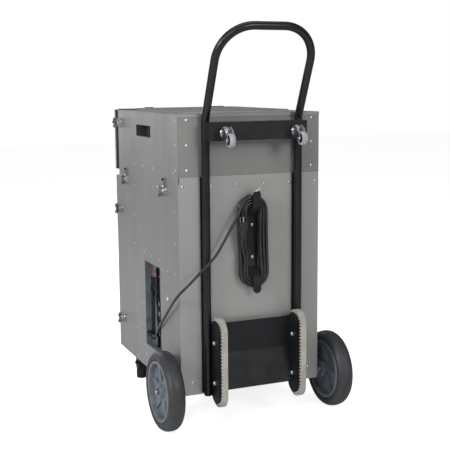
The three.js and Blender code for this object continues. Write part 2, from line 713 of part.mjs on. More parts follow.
function tyre() {
  const { bead, halfWidth, shoulder, crown } = TYRE;
  const half = [
    [RIM_RADIUS, bead], [105, halfWidth], [115, halfWidth], [123, shoulder], [WHEEL_RADIUS, crown],
  ];
  const mirrored = half.map(([radius, across]) => [radius, -across]);
  const section = [...mirrored, ...half.reverse(), mirrored[0]];
  return turned("x", section, [0, 0, 0], 32);
}

// A round foot with a square block above it that reaches up to the casing.
function frontFoot() {
  const { x, y, radius, height, block } = FOOT;
  const sole = rod("z", radius, height, [x, y, height / 2], 16);
  const top = CASE_BOTTOM_Z - GAP;
  return sole.add(box(x - block, x + block, y - block, y + block, height - OVERLAP, top));
}

// ---- casters, about their swivel axis with the crossbar's front face at y = 0 ----
function casterPlate() {
  return rod("y", 24, 3, [0, GAP + 1.5, 0], 20).add(rod("y", 14, 12, [0, 8.8, 0], 16));
}

function casterFork() {
  const { trail } = CASTER;
  const reach = CASTER.wheelY - CROSSBAR.front;
  const leg = [
    [16, 17], [34, 15], [reach + 7, -trail + 9], [reach + 9, -trail], [reach + 5, -trail - 7],
    [reach - 3, -trail - 8], [16, -13],
  ];
  const crown = rod("y", 19, 9, [0, 20, 0], 20);
  const legs = [11, -13.5].map((x) => alongX([...leg].reverse(), x, x + 2.5));
  return joined([crown, ...legs, rod("x", 3.5, 32, [0, reach, -trail], 12)]);
}

function casterWheel() {
  const { radius, halfWidth } = CASTER;
  const section = [
    [4, -halfWidth - 0.6], [8, -halfWidth - 0.6], [8, -halfWidth + 3], [16, -halfWidth + 3],
    [17, -halfWidth], [radius - 2, -halfWidth], [radius, -halfWidth + 3],
    [radius, halfWidth - 3], [radius - 2, halfWidth], [17, halfWidth], [16, halfWidth - 3],
    [8, halfWidth - 3], [8, halfWidth + 0.6], [4, halfWidth + 0.6], [4, -halfWidth - 0.6],
  ];
  return turned("x", section, [0, 0, 0], 18);
}

// ---- latch wings, which turn on their boss ----
function latchWing(y, z) {
  const { bossFace, discRadius, discThick, wingTip, wingHalf, wingThick } = LATCH;
  const face = bossFace + GAP;
  const disc = rod("x", discRadius, discThick, [face + discThick / 2, y, z], 18);
  const half = [
    [wingTip - 3, 0], [wingTip, 0.55 * wingHalf], [wingTip - 4, wingHalf], [face + 3, 0.9 * wingHalf],
  ];
  const below = half.slice(1).map(([x, up]) => [x, z - up]).reverse();
  const above = half.map(([x, up]) => [x, z + up]);
  return disc.add(alongY([...below, ...above], y - wingThick / 2, y + wingThick / 2));
}

// ---- assembly ----
function coolingSection() {
  const group = new THREE.Group();
  piece(group, "base_pan", basePan(), greyPaint);
  piece(group, "lower_left_panel", lowerSidePanel(true), greyPaint);
  piece(group, "lower_right_panel", lowerSidePanel(false), greyPaint).scale.x = -1;
  piece(group, "lower_back_panel", lowerBackPanel(), backPaint);
  piece(group, "lower_front_cover", lowerFrontCover(), greyPaint);
  piece(group, "control_bay", controlBay(), blackPaint);
  piece(group, "power_switch", powerSwitch(), redPlastic);
  piece(group, "drain_fitting", drainFitting(), blackPlastic);
  piece(group, "cord_gland", cordGland(), blackPlastic);
  piece(group, "compressor", compressor(), blackPaint);
  piece(group, "condensate_pump", condensatePump(), blackPlastic);
  piece(group, "drain_pan", drainPan(), aluminium);
  piece(group, "evaporator_coil", coil(-470, -432), aluminium);
  piece(group, "condenser_coil", coil(-420, -382), aluminium);
  for (const [i, place] of ["front", "rear"].entries()) {
    pair(group, `${place}_section_latch`, latchWing(SECTION_LATCH_Y[i], SECTION_LATCH_Z), steel);
  }
  for (const [i, place] of ["high", "low"].entries()) {
    pair(group, `${place}_cover_latch`, latchWing(DOOR_LATCH_Y, LOWER_LATCH_Z[i]), steel);
  }
  return group;
}

function fanSection() {
  const group = new THREE.Group();
  pair(group, "upper_panel", upperSidePanel(), greyPaint);
  piece(
    group,
    "upper_back_panel",
    box(-EDGE_X, EDGE_X, -SHEET, 0, BACK_SEAM_Z + GAP, CASE_TOP_Z - SHEET - GAP),
    backPaint,
  );
  piece(group, "top_grille", topGrille(), greyPaint);
  piece(group, "upper_front_door", upperFrontDoor(), greyPaint);
  piece(group, "filter_frame", filterFrame(), filterFrameFoam);
  piece(group, "air_filter", airFilter(), filterPaper);
  piece(group, "blower_housing", blowerHousing(), aluminium);
  piece(group, "blower_wheel", blowerWheel(), aluminium);
  piece(group, "fan_motor", fanMotor(), blackPaint);
  pair(group, "lift_handle", sideRecess(GRIP), greyPaint);
  pair(group, "door_latch", latchWing(DOOR_LATCH_Y, UPPER_LATCH_Z), steel);
  return group;
}

function storedCord() {
  const group = new THREE.Group();
  piece(group, "cord_wrap", cordWrap(), blackPaint);
  piece(group, "power_cord", powerCord(), cordRubber);
  piece(group, "cord_hank", cordHank(), cordRubber);
  piece(group, "power_plug", powerPlug(), cordRubber);
  return group;
}

function caster(side, name) {
  const group = new THREE.Group();
  const { x, z, wheelY, trail } = CASTER;
  group.position.set(side * x, CROSSBAR.front, z);
  piece(group, `${name}_caster_plate`, casterPlate(), zinc);
  piece(group, `${name}_caster_fork`, casterFork(), zinc);
  const wheel = piece(group, `${name}_caster_wheel`, casterWheel(), casterRubber);
  wheel.position.set(0, wheelY - CROSSBAR.front, -trail);
  return group;
}

function roadWheel(side, name) {
  const group = new THREE.Group();
  group.position.set(side * WHEEL_X, AXLE_Y, WHEEL_RADIUS);
  group.scale.x = side;
  piece(group, `${name}_wheel_hub`, wheelHub(), hubPlastic);
  piece(group, `${name}_tyre`, tyre(), tyreRubber);
  return group;
}

function handTruck() {
  const group = new THREE.Group();
  piece(group, "handle_frame", handleFrame(), blackPaint);
  piece(group, "upper_crossbar", upperCrossbar(), blackPaint);
  piece(group, "lower_cross_plate", lowerCrossPlate(), blackPaint);
  piece(group, "axle", rod("x", AXLE_RADIUS, AXLE_LENGTH, [0, AXLE_Y, WHEEL_RADIUS], 16), steel);
  pair(group, "climber_plate", climberPlate(), blackPaint);
  pair(group, "climber_belt", climberBelt(), beltRubber);
  pair(group, "front_foot", frontFoot(), blackPlastic);
  group.add(caster(1, "left"), caster(-1, "right"));
  group.add(roadWheel(1, "left"), roadWheel(-1, "right"));
  return group;
}

const dehumidifier = new THREE.Group();
dehumidifier.name = "dehumidifier";
dehumidifier.position.y = BACK_PLANE_Y;
dehumidifier.add(coolingSection(), fanSection(), storedCord(), handTruck());

export default dehumidifier;
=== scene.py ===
"""Looks of a commercial dehumidifier on a stair-climbing hand truck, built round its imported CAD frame."""

import math

import bmesh
import bpy
from mathutils import Matrix, Vector


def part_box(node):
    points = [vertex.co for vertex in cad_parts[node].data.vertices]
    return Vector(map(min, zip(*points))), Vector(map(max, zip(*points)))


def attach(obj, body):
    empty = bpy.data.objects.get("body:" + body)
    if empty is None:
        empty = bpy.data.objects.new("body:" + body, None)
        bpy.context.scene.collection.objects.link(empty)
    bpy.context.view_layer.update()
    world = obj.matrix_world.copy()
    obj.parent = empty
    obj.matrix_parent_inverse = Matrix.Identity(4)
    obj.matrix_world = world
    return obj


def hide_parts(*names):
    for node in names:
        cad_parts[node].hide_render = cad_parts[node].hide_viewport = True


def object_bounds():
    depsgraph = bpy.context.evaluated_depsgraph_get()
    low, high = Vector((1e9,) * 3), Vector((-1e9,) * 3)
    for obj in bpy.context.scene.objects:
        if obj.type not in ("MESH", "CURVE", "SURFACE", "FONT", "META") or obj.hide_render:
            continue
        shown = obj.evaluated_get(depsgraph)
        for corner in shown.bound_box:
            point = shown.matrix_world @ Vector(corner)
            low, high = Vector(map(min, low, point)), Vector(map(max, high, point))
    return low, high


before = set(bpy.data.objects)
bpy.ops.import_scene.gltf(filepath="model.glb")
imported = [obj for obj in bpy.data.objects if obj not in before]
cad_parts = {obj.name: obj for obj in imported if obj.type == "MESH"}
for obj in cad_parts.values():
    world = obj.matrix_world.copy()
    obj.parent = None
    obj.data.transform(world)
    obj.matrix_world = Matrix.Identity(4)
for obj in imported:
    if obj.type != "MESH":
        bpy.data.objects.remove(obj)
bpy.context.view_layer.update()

X, Y, Z = Vector((1, 0, 0)), Vector((0, 1, 0)), Vector((0, 0, 1))
ORIGIN = Vector((0, 0, 0))
SIDES = {"left": 1, "right": -1}
PANEL_X, BACK_Y = 0.2435, 0.26  # outer faces of the side and back panels
SEED = 7


def add_object(name, data):
    """A new object in the scene."""
    thing = bpy.data.objects.new(name, data)
    bpy.context.scene.collection.objects.link(thing)
    return thing


def bevel_edges(thing, name, width, angle):
    """Rounds the edges that are sharper than angle, in degrees."""
    bevel = thing.modifiers.new(name, "BEVEL")
    bevel.width = width
    bevel.segments = 2
    bevel.limit_method = "ANGLE"
    bevel.angle_limit = math.radians(angle)
    return bevel


def middle_of(name):
    """The middle of a CAD node's box."""
    low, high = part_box(name)
    return [(a + b) / 2 for a, b in zip(low, high)]


def mirrored(half, *middle):
    """Half a profile, any points on the line of symmetry, and the half's mirror image."""
    return [*half, *middle, *((u, -v) for u, v in reversed(half))]


# Camera.
AZIMUTH, ELEVATION, ROLL = 157.12, 8.65, -0.48  # degrees
CAMERA_PLACE = (1.2124, 2.9226, 1.0837)
LENS, SENSOR_WIDTH = 74.29, 36  # millimetres


def make_camera():
    """The camera stands behind the machine, to its left and a little above it."""
    azimuth, elevation, roll = (math.radians(angle) for angle in (AZIMUTH, ELEVATION, ROLL))
    level = math.cos(elevation)
    back = Vector((math.sin(azimuth) * level, -math.cos(azimuth) * level, math.sin(elevation)))
    right = Z.cross(back).normalized()
    up = back.cross(right)
    turned_right = math.cos(roll) * right + math.sin(roll) * up
    turned_up = -math.sin(roll) * right + math.cos(roll) * up
    data = bpy.data.cameras.new("camera")
    data.lens = LENS
    data.sensor_width = SENSOR_WIDTH
    camera = add_object("camera", data)
    pose = Matrix((turned_right, turned_up, back)).transposed().to_4x4()
    pose.translation = CAMERA_PLACE
    camera.matrix_world = pose
    bpy.context.scene.camera = camera


# Materials.
def linear(code):
    """A hex sRGB colour as linear RGBA."""
    channels = [int(code[i : i + 2], 16) / 255 for i in (1, 3, 5)]
    return [c / 12.92 if c <= 0.04045 else ((c + 0.055) / 1.055) ** 2.4 for c in channels] + [1]


def add_node(tree, kind, links=None, **values):
    """Adds a shader node. A name in values is a property or an input; links maps inputs to sockets."""
    node = tree.nodes.new(kind)
    for name, value in values.items():
        label = name.replace("_", " ").title()
        if hasattr(node, name):
            setattr(node, name, value)
        elif label in node.inputs:
            node.inputs[label].default_value = value
        else:
            node.inputs[name.replace("_", " ")].default_value = value
    for name, socket in (links or {}).items():
        tree.links.new(socket, node.inputs[name])
    return node


class Surface:
    """A Principled material whose colour, roughness and bump come from noise in the object's own space."""

    def __init__(self, name, metallic=0.0, coat=0.0, specular=0.5):
        self.material = bpy.data.materials.new(name)
        self.material.use_nodes = True
        self.tree = self.material.node_tree
        self.shader = self.tree.nodes["Principled BSDF"]
        self.shader.inputs["Metallic"].default_value = metallic
        self.shader.inputs["Coat Weight"].default_value = coat
        self.shader.inputs["Specular IOR Level"].default_value = specular
        self.place = add_node(self.tree, "ShaderNodeTexCoord").outputs["Object"]
        self.height = None

    def noise(self, scale, detail=3.0, stretch=(1, 1, 1), roughness=0.5):
        """Noise with about scale cells to a metre, so that 1000 gives a grain of 1 mm."""
        mapping = add_node(self.tree, "ShaderNodeMapping", {"Vector": self.place}, Scale=stretch)
        place = {"Vector": mapping.outputs["Vector"]}
        settings = {"Scale": scale, "Detail": detail, "Roughness": roughness}
        return add_node(self.tree, "ShaderNodeTexNoise", place, **settings).outputs["Fac"]

    def ramp(self, value, low, high, start=0.35, end=0.65):
        """Turns a 0 to 1 value into a blend of two colours, or of two numbers."""
        ramp = add_node(self.tree, "ShaderNodeValToRGB", {"Fac": value})
        first, last = ramp.color_ramp.elements
        first.position, last.position = start, end
        first.color = linear(low) if isinstance(low, str) else (low, low, low, 1)
        last.color = linear(high) if isinstance(high, str) else (high, high, high, 1)
        return ramp.outputs["Color"]

    def colour(self, value, low, high, start=0.35, end=0.65):
        self.tree.links.new(self.ramp(value, low, high, start, end), self.shader.inputs["Base Color"])
        return self

    def spots(self, value, code, start, end):
        """Lays marks of one colour over the base colour where value is high."""
        base = self.shader.inputs["Base Color"]
        mix = add_node(self.tree, "ShaderNodeMix", data_type="RGBA")
        mask = self.ramp(value, 0.0, 1.0, start, end)
        # Input 0 is the factor; inputs 6 and 7 and output 2 are the colours.
        self.tree.links.new(mask, mix.inputs[0])
        self.tree.links.new(base.links[0].from_socket, mix.inputs[6])
        mix.inputs[7].default_value = linear(code)
        self.tree.links.new(mix.outputs[2], base)
        return self

    def rough(self, value, low, high, start=0.3, end=0.7):
        self.tree.links.new(self.ramp(value, low, high, start, end), self.shader.inputs["Roughness"])
        return self

    def bump(self, value, depth, strength=1.0):
        """Adds relief of that depth in metres; later calls build on earlier ones."""
        node = add_node(self.tree, "ShaderNodeBump", {"Height": value}, Strength=strength, Distance=depth)
        if self.height:
            self.tree.links.new(self.height, node.inputs["Normal"])
        self.height = node.outputs["Normal"]
        self.tree.links.new(self.height, self.shader.inputs["Normal"])
        return self


def powder_paint(name, dark, light, metallic=0.35):
    """Grey baked paint on sheet metal: an orange-peel skin under upright clouds and smudges."""
    paint = Surface(name, metallic=metallic)
    cloud = paint.noise(3.2, 2, (1, 1, 0.5))
    paint.colour(cloud, dark, light, 0.3, 0.7)
    smudge = paint.noise(9, 5, (1, 1, 0.3), 0.7)
    paint.spots(smudge, dark, 0.6, 0.85)
    paint.rough(paint.noise(14, 4, (1, 1, 0.25)), 0.38, 0.52)
    paint.bump(paint.noise(900, 2), 0.00004, 0.35)
    return paint.bump(paint.noise(5, 1), 0.0004, 0.06).material


def black_paint():
    """Satin black powder coat: a soft sheen that changes a little, over a very shallow waviness."""
    paint = Surface("black_powder_coat", specular=0.42)
    paint.colour(paint.noise(12, 4), "#0c0d0f", "#131417")
    paint.rough(paint.noise(25, 3), 0.28, 0.38)
    return paint.bump(paint.noise(70, 2), 0.00003, 0.1).material


def sheet_black():
    """Black paint on flat folded sheet, duller than the tube and lightly scuffed."""
    paint = Surface("black_painted_sheet", specular=0.3)
    paint.colour(paint.noise(7, 3), "#121316", "#1b1d20")
    paint.spots(paint.noise(40, 6, (3, 1, 0.4), 0.8), "#303236", 0.66, 0.95)
    paint.rough(paint.noise(18, 4), 0.42, 0.6)
    return paint.bump(paint.noise(1100, 2), 0.00005, 0.4).material


def moulded_plastic(name, low, high):
    """Moulded plastic with a spark-eroded grain."""
    plastic = Surface(name, specular=0.35)
    plastic.colour(plastic.noise(30, 3), low, high)
    plastic.rough(plastic.noise(50, 3), 0.45, 0.62)
    return plastic.bump(plastic.noise(1800, 3), 0.00006, 0.5).material


def gasket_foam():
    """Black foam: dull, with an uneven, pitted face."""
    foam = Surface("black_gasket_foam")
    foam.colour(foam.noise(200, 3), "#090a0b", "#141517")
    foam.rough(foam.noise(90, 2), 0.85, 0.97)
    return foam.bump(foam.noise(700, 4), 0.0004, 0.7).material


def metal(name, dark, light, low, high, grain=(1, 1, 1), depth=0.00003):
    """Plated or mill-finish metal with a drawn grain and uneven gloss."""
    surface = Surface(name, metallic=1.0)
    surface.colour(surface.noise(45, 4, grain), dark, light)
    surface.rough(surface.noise(70, 5, grain, 0.7), low, high)
    return surface.bump(surface.noise(600, 3, grain), depth, 0.5).material


def tyre_rubber():
    """Dark grey tyre rubber with a dusty bloom on the sidewalls and a matt, pitted tread."""
    rubber = Surface("tyre_rubber")
    rubber.colour(rubber.noise(18, 5, roughness=0.7), "#2e2f32", "#3c3d40")
    rubber.spots(rubber.noise(70, 6, roughness=0.8), "#525357", 0.66, 0.95)
    rubber.rough(rubber.noise(30, 3), 0.42, 0.6)
    return rubber.bump(rubber.noise(500, 4), 0.00018, 0.6).material


def hub_plastic():
    """Blue-grey glass-filled nylon: flow marks, satin skin and scuffs."""
    plastic = Surface("blue_grey_hub_plastic")
    plastic.colour(plastic.noise(16, 4), "#5d646d", "#747b84")
    plastic.spots(plastic.noise(60, 6, roughness=0.8), "#8a9097", 0.66, 0.95)
    plastic.rough(plastic.noise(25, 3), 0.36, 0.55)
    return plastic.bump(plastic.noise(1200, 3), 0.00006, 0.5).material


def belt_rubber():
    """Warm grey moulded belt with a fine rib and grubby patches."""
    belt = Surface("warm_grey_belt")
    belt.colour(belt.noise(25, 5), "#a39e97", "#b9b4ac")
    belt.spots(belt.noise(80, 6, roughness=0.8), "#7d7870", 0.6, 0.9)
    belt.rough(belt.noise(40, 3), 0.62, 0.85)
    wave = add_node(belt.tree, "ShaderNodeTexWave", {"Vector": belt.place}, Scale=260.0, Distortion=0.6)
    return belt.bump(wave.outputs["Fac"], 0.00012, 0.5).material


def caster_rubber():
    """Light grey non-marking caster tread, faintly mottled."""
    rubber = Surface("grey_caster_tread")
    rubber.colour(rubber.noise(60, 4), "#94969b", "#adafb4")
    rubber.rough(rubber.noise(60, 3), 0.5, 0.7)
    return rubber.bump(rubber.noise(900, 3), 0.00008, 0.5).material


def cord_jacket():
    """Black rubber cord jacket with a thin gloss that varies and a slightly uneven colour."""
    jacket = Surface("black_cord_jacket", coat=0.2)
    jacket.colour(jacket.noise(60, 4), "#131416", "#212327")
    jacket.rough(jacket.noise(90, 4), 0.32, 0.5)
    return jacket.bump(jacket.noise(700, 2), 0.00008, 0.5).material


def gloss_plastic(name, dark, light):
    """Glossy coloured switch or lamp plastic with a slight swirl."""
    plastic = Surface(name, coat=0.5)
    plastic.colour(plastic.noise(90, 3), dark, light)
    plastic.rough(plastic.noise(80, 2), 0.18, 0.3)
    return plastic.bump(plastic.noise(900, 2), 0.00003, 0.3).material


def filter_media():
    """Off-white pleated filter paper: fibrous and quite matt."""
    paper = Surface("filter_media")
    paper.colour(paper.noise(120, 6, (1, 1, 4), 0.8), "#bdbeb8", "#d8d9d3")
    paper.rough(paper.noise(100, 2), 0.85, 0.98)
    return paper.bump(paper.noise(500, 5, (1, 1, 5)), 0.0002, 0.6).material


def coil_fins():
    """Aluminium fin stock: thin upright plates drawn as fine light and dark lines, the dark ones painted
    shade in the gaps.
    """
    fins = Surface("coil_fins", metallic=1.0)
    place = {"Vector": fins.place}
    wave = add_node(fins.tree, "ShaderNodeTexWave", place, Scale=160.0, bands_direction="X")
    # The dark bands are painted shade in the gaps between the fins; the light bands are the fins' own
    # aluminium.
    fins.colour(wave.outputs["Fac"], "#5b5e61", "#c3c6c9")
    fins.rough(fins.noise(70, 3), 0.3, 0.5)
    return fins.bump(wave.outputs["Fac"], 0.0008, 0.8).material


MATERIALS = {
    "side": powder_paint("side_panel_paint", "#8d8d8d", "#979796"),
    "upper_back": powder_paint("upper_back_paint", "#7f7e7c", "#8b8a88"),
    "lower_back": powder_paint("lower_back_paint", "#9a9997", "#a7a6a4"),
    # The pocket paint is the side grey darkened: painted shade for the inside of the lift pockets.
    "shaded_pocket": powder_paint("pocket_painted_shade", "#4b4b4b", "#5a5a59"),
    "black": black_paint(),
    "sheet": sheet_black(),
    "plastic": moulded_plastic("black_moulded_plastic", "#101113", "#1a1b1e"),
    "bay": moulded_plastic("bay_wall_plastic", "#5a646b", "#747f86"),
    "foam": gasket_foam(),
    "nickel": metal("nickel_plate", "#8b8d8e", "#c2c4c5", 0.24, 0.42),
    "zinc": metal("zinc_plate", "#8f9194", "#c1c3c6", 0.26, 0.45, depth=0.00005),
    "screw": metal("screw_steel", "#b6b7b8", "#e6e6e5", 0.18, 0.32),
    "aluminium": metal("mill_aluminium", "#a3a6a9", "#c9ccce", 0.32, 0.5, (0.2, 1, 1)),
    # The rivets are the side grey made lighter: a painted highlight on their heads.
    "rivet": powder_paint("rivet_paint_painted_highlight", "#b9b9b7", "#d2d1cf", 0.4),
    "axle": metal("turned_steel", "#9b9c9e", "#c6c7c9", 0.2, 0.36, (6, 1, 1)),
    "tyre": tyre_rubber(),
    "hub": hub_plastic(),
    "belt": belt_rubber(),
    "caster": caster_rubber(),
    "cord": cord_jacket(),
    "red": gloss_plastic("red_switch_plastic", "#8f1d14", "#b42a1d"),
    "cream": gloss_plastic("cream_tie_plastic", "#cbc3ae", "#ddd6c4"),
    "filter": filter_media(),
    "fins": coil_fins(),
}
CAD_FINISH = {
    "side": ["base_pan", "lower_left_panel", "lower_right_panel", "lower_front_cover", "top_grille"]
    + ["upper_front_door", "left_upper_panel", "right_upper_panel"],
    # The lift pockets get the darkened grey, which is painted shade inside them.
    "shaded_pocket": ["left_lift_handle", "right_lift_handle"],
    "upper_back": ["upper_back_panel"],
    "lower_back": ["lower_back_panel"],
    "sheet": ["upper_crossbar", "lower_cross_plate", "compressor", "fan_motor"],
    "bay": ["control_bay"],
    "plastic": ["condensate_pump"],
    "foam": ["filter_frame"],
    "aluminium": ["drain_pan", "blower_housing", "blower_wheel"],
    "fins": ["evaporator_coil", "condenser_coil"],
    "filter": ["air_filter"],
    "axle": ["axle"],
    "red": ["power_switch"],
}
# The width of the bevel on a CAD node's folded edges, in metres.
FOLDED = {
    0.0002: ["lower_left_panel", "lower_right_panel", "left_upper_panel", "right_upper_panel"],
    0.0005: ["top_grille", "control_bay", "power_switch"],
    0.0006: ["upper_back_panel", "lower_back_panel", "left_lift_handle", "right_lift_handle"],
    0.0008: ["base_pan"],
    0.001: ["lower_cross_plate"],
    0.0015: ["lower_front_cover", "upper_front_door"],
    0.0016: ["upper_crossbar"],
    0.002: ["filter_frame"],
}


def finish_cad_nodes():
    for finish, names in CAD_FINISH.items():
        for name in names:
            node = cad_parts[name]
            node.data.materials.clear()
            node.data.materials.append(MATERIALS[finish])
    for width, names in FOLDED.items():
        for name in names:
            bevel_edges(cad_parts[name], "fold", width, 40)


# Mesh building.
class Piece:
    """Gathers closed shapes into one mesh in the row frame, each shape with its own finish."""

    def __init__(self, name, *finishes):
        self.name = name
        self.finishes = finishes
        self.mesh = bmesh.new()

    def _finish(self, faces, finish):
        index = self.finishes.index(finish or self.finishes[0])
        for face in faces:
            face.material_index = index

    def box(self, low, high, finish=None):
        centre = [(a + b) / 2 for a, b in zip(low, high)]
        size = [abs(b - a) for a, b in zip(low, high)]
        matrix = Matrix.Translation(centre) @ Matrix.Diagonal((*size, 1))
        made = bmesh.ops.create_cube(self.mesh, size=1, matrix=matrix)
        self._finish({f for v in made["verts"] for f in v.link_faces}, finish)
        return self

    def rings(self, loops, closed, finish=None):
        """Joins loops of points into a skin. Its ends are capped, or joined if it is closed."""
        rows = [[self.mesh.verts.new(point) for point in loop] for loop in loops]
        count = len(rows[0])
        pairs = list(zip(rows, rows[1:] + rows[:1])) if closed else list(zip(rows, rows[1:]))
        faces = []
        for a, b in pairs:
            for i in range(count):
                j = (i + 1) % count
                faces.append(self.mesh.faces.new((a[i], a[j], b[j], b[i])))
        if not closed:
            faces.append(self.mesh.faces.new(rows[0][::-1]))
            faces.append(self.mesh.faces.new(rows[-1]))
        self._finish(faces, finish)
        return self

    def prism(self, outline, axis, start, end, finish=None):
        """An outline in the two other axes, in X, Y, Z order, run along one axis."""
        order = {"x": (2, 0, 1), "y": (0, 2, 1), "z": (0, 1, 2)}[axis]
        loops = [[[(u, v, w)[i] for i in order] for u, v in outline] for w in (start, end)]
        return self.rings(loops, False, finish)

    def lathe(self, profile, centre, axis, sides=32, finish=None):
        """A profile of (radius, distance along the axis), turned; it starts and ends off the axis."""
        axis = Vector(axis).normalized()
        side = axis.orthogonal().normalized()
        other = axis.cross(side)
        loops = []
        for i in range(sides):
            angle = 2 * math.pi * i / sides
            spoke = side * math.cos(angle) + other * math.sin(angle)
            loops.append([Vector(centre) + spoke * r + axis * h for r, h in profile])
        return self.rings(loops, True, finish)

    def washer(self, inner, outer, low, high, centre, axis, sides, finish=None):
        profile = [(inner, low), (outer, low), (outer, high), (inner, high)]
        return self.lathe(profile, centre, axis, sides, finish)

    def dome(self, centre, axis, radius, height, sides=20, finish=None):
        """A round head: a short cylinder that crowns over."""
        steps = [(0.04, 0), (1, 0), (1, 0.35), (0.92, 0.62), (0.72, 0.85), (0.4, 0.97), (0.04, 1)]
        return self.lathe([(radius * r, height * h) for r, h in steps], centre, axis, sides, finish)

    def tube(self, path, radius, sides=12, finish=None, squash=1.0):
        """A round bar along a path of points, with its ends capped."""
        points = [Vector(p) for p in path]
        loops = []
        side = None
        for i, point in enumerate(points):
            ahead = points[min(i + 1, len(points) - 1)] - points[max(i - 1, 0)]
            ahead.normalize()
            if side is None:
                side = ahead.orthogonal().normalized()
            side = (side - ahead * side.dot(ahead)).normalized()
            other = ahead.cross(side)
            angles = [2 * math.pi * k / sides for k in range(sides)]
            loops.append(
                [point + (side * math.cos(a) + other * squash * math.sin(a)) * radius for a in angles]
            )
        return self.rings(loops, False, finish)

    def place(self, matrix):
        bmesh.ops.transform(self.mesh, matrix=matrix, verts=self.mesh.verts)
        return self

    def data(self, smooth=40):
        """The mesh so far, facing out, with the edges that are sharper than smooth degrees kept."""
        bmesh.ops.recalc_face_normals(self.mesh, faces=self.mesh.faces)
        data = bpy.data.meshes.new(self.name)
        self.mesh.to_mesh(data)
        self.mesh.free()
        data.shade_smooth()
        data.set_sharp_from_angle(angle=math.radians(smooth))
        return data

    def make(self, body, replaces=(), slot=None, bevel=0.0, smooth=38):
        """Ends the piece: closed, facing out, riding on its body and standing for its CAD nodes."""
        bmesh.ops.remove_doubles(self.mesh, verts=self.mesh.verts, dist=1e-7)
        piece = add_object(self.name, self.data(smooth))
        for finish in self.finishes:
            piece.data.materials.append(MATERIALS[finish])
        if bevel:
            bevel_edges(piece, "edges", bevel, 38).harden_normals = True
        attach(piece, body)
        if replaces:
            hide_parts(*replaces)
        return piece


def arc_points(centre, radius, start, end, steps):
    """Points (u, v) on an arc; angles in degrees."""
    for i in range(steps + 1):
        angle = math.radians(start + (end - start) * i / steps)
        yield centre[0] + radius * math.cos(angle), centre[1] + radius * math.sin(angle)


def obround(centre, radius, half_straight, steps=16):
    """An upright long shape with round ends."""
    u, v = centre
    top = arc_points((u, v + half_straight), radius, 0, 180, steps)
    bottom = arc_points((u, v - half_straight), radius, 180, 360, steps)
    return [*top, *bottom]


def smooth_path(points, step):
    """A Catmull-Rom line through the points, sampled about every step."""
    points = [Vector(p) for p in points]
    ends = [2 * points[0] - points[1], *points, 2 * points[-1] - points[-2]]
    line = [points[0]]
    for a, b, c, d in zip(ends, ends[1:], ends[2:], ends[3:]):
        count = max(1, round((c - b).length / step))
        for i in range(1, count + 1):
            t = i / count
            line.append(
                0.5 * (2 * b + (c - a) * t + (2 * a - 5 * b + 4 * c - d) * t**2)
                + 0.5 * (3 * b - 3 * c + d - a) * t**3
            )
    return line


# Repeated small parts.
def copies_group():
    """A node group that sets a copy on every point, turned as its attribute says, with a random twist."""
    group = bpy.data.node_groups.new("place_copies", "GeometryNodeTree")
    kinds = {"Points": "Geometry", "Copy": "Object", "Finish": "Material", "Twist": "Float", "Seed": "Int"}
    for name, kind in kinds.items():
        group.interface.new_socket(name, in_out="INPUT", socket_type="NodeSocket" + kind)
    group.interface.new_socket("Geometry", in_out="OUTPUT", socket_type="NodeSocketGeometry")
    given = group.nodes.new("NodeGroupInput")
    out = group.nodes.new("NodeGroupOutput")
    info = add_node(group, "GeometryNodeObjectInfo", {"Object": given.outputs["Copy"]})
    turn = add_node(group, "GeometryNodeInputNamedAttribute", data_type="FLOAT_VECTOR", Name="turn")
    rotation = add_node(group, "FunctionNodeEulerToRotation", {"Euler": turn.outputs["Attribute"]})
    links = {"Points": given.outputs["Points"], "Instance": info.outputs["Geometry"]}
    links["Rotation"] = rotation.outputs["Rotation"]
    place = add_node(group, "GeometryNodeInstanceOnPoints", links)
    seed = {"Seed": given.outputs["Seed"]}
    chance = add_node(group, "FunctionNodeRandomValue", seed, data_type="FLOAT")
    # Input 3 is the largest number and output 1 the number drawn, as floats.
    group.links.new(given.outputs["Twist"], chance.inputs[3])
    spin = add_node(group, "ShaderNodeCombineXYZ", {"Z": chance.outputs[1]})
    links = {"Instances": place.outputs["Instances"], "Rotation": spin.outputs["Vector"]}
    twist = add_node(group, "GeometryNodeRotateInstances", links)
    real = add_node(group, "GeometryNodeRealizeInstances", {"Geometry": twist.outputs["Instances"]})
    links = {"Geometry": real.outputs["Geometry"], "Material": given.outputs["Finish"]}
    paint = add_node(group, "GeometryNodeSetMaterial", links)
    group.links.new(paint.outputs["Geometry"], out.inputs["Geometry"])
    return group


COPIES = copies_group()


def scatter(name, body, master, places, finish, twist=0.0):
    """One plain mesh of copies of master, one at each place: a point, and a direction or a turn."""
    cloud = bpy.data.meshes.new(name + "_points")
    cloud.from_pydata([tuple(point) for point, _ in places], [], [])
    turn = cloud.attributes.new("turn", "FLOAT_VECTOR", "POINT")
    for i, (_, outward) in enumerate(places):
        turned = outward if isinstance(outward, Matrix) else Vector(outward).to_track_quat("Z", "Y")
        turn.data[i].vector = turned.to_euler()
    holder = add_object(name + "_master", master)
    points = add_object(name + "_cloud", cloud)
    modifier = points.modifiers.new("copies", "NODES")
    modifier.node_group = COPIES
    values = {"Copy": holder, "Finish": MATERIALS[finish], "Twist": twist, "Seed": SEED}
    for item in COPIES.interface.items_tree:
        if item.in_out == "INPUT" and item.name in values:
            modifier[item.identifier] = values[item.name]
    bpy.context.view_layer.update()
    graph = bpy.context.evaluated_depsgraph_get()
    data = bpy.data.meshes.new_from_object(points.evaluated_get(graph), depsgraph=graph)
    data.name = name
    for thing in (points, holder):
        bpy.data.objects.remove(thing)
    piece = add_object(name, data)
    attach(piece, body)
    return piece


# The masters of the small parts stand on the XY plane and point along +Z.
def rivet_head():
    return Piece("rivet", "side").dome((0, 0, -0.0004), Z, 0.0036, 0.0018, 12).data()


def pan_screw():
    """A pan-head screw on a small washer."""
    piece = Piece("screw", "screw").washer(0.0001, 0.0052, -0.0004, 0.0004, ORIGIN, Z, 16)
    return piece.dome(ORIGIN, Z, 0.0043, 0.0028, 14).data()


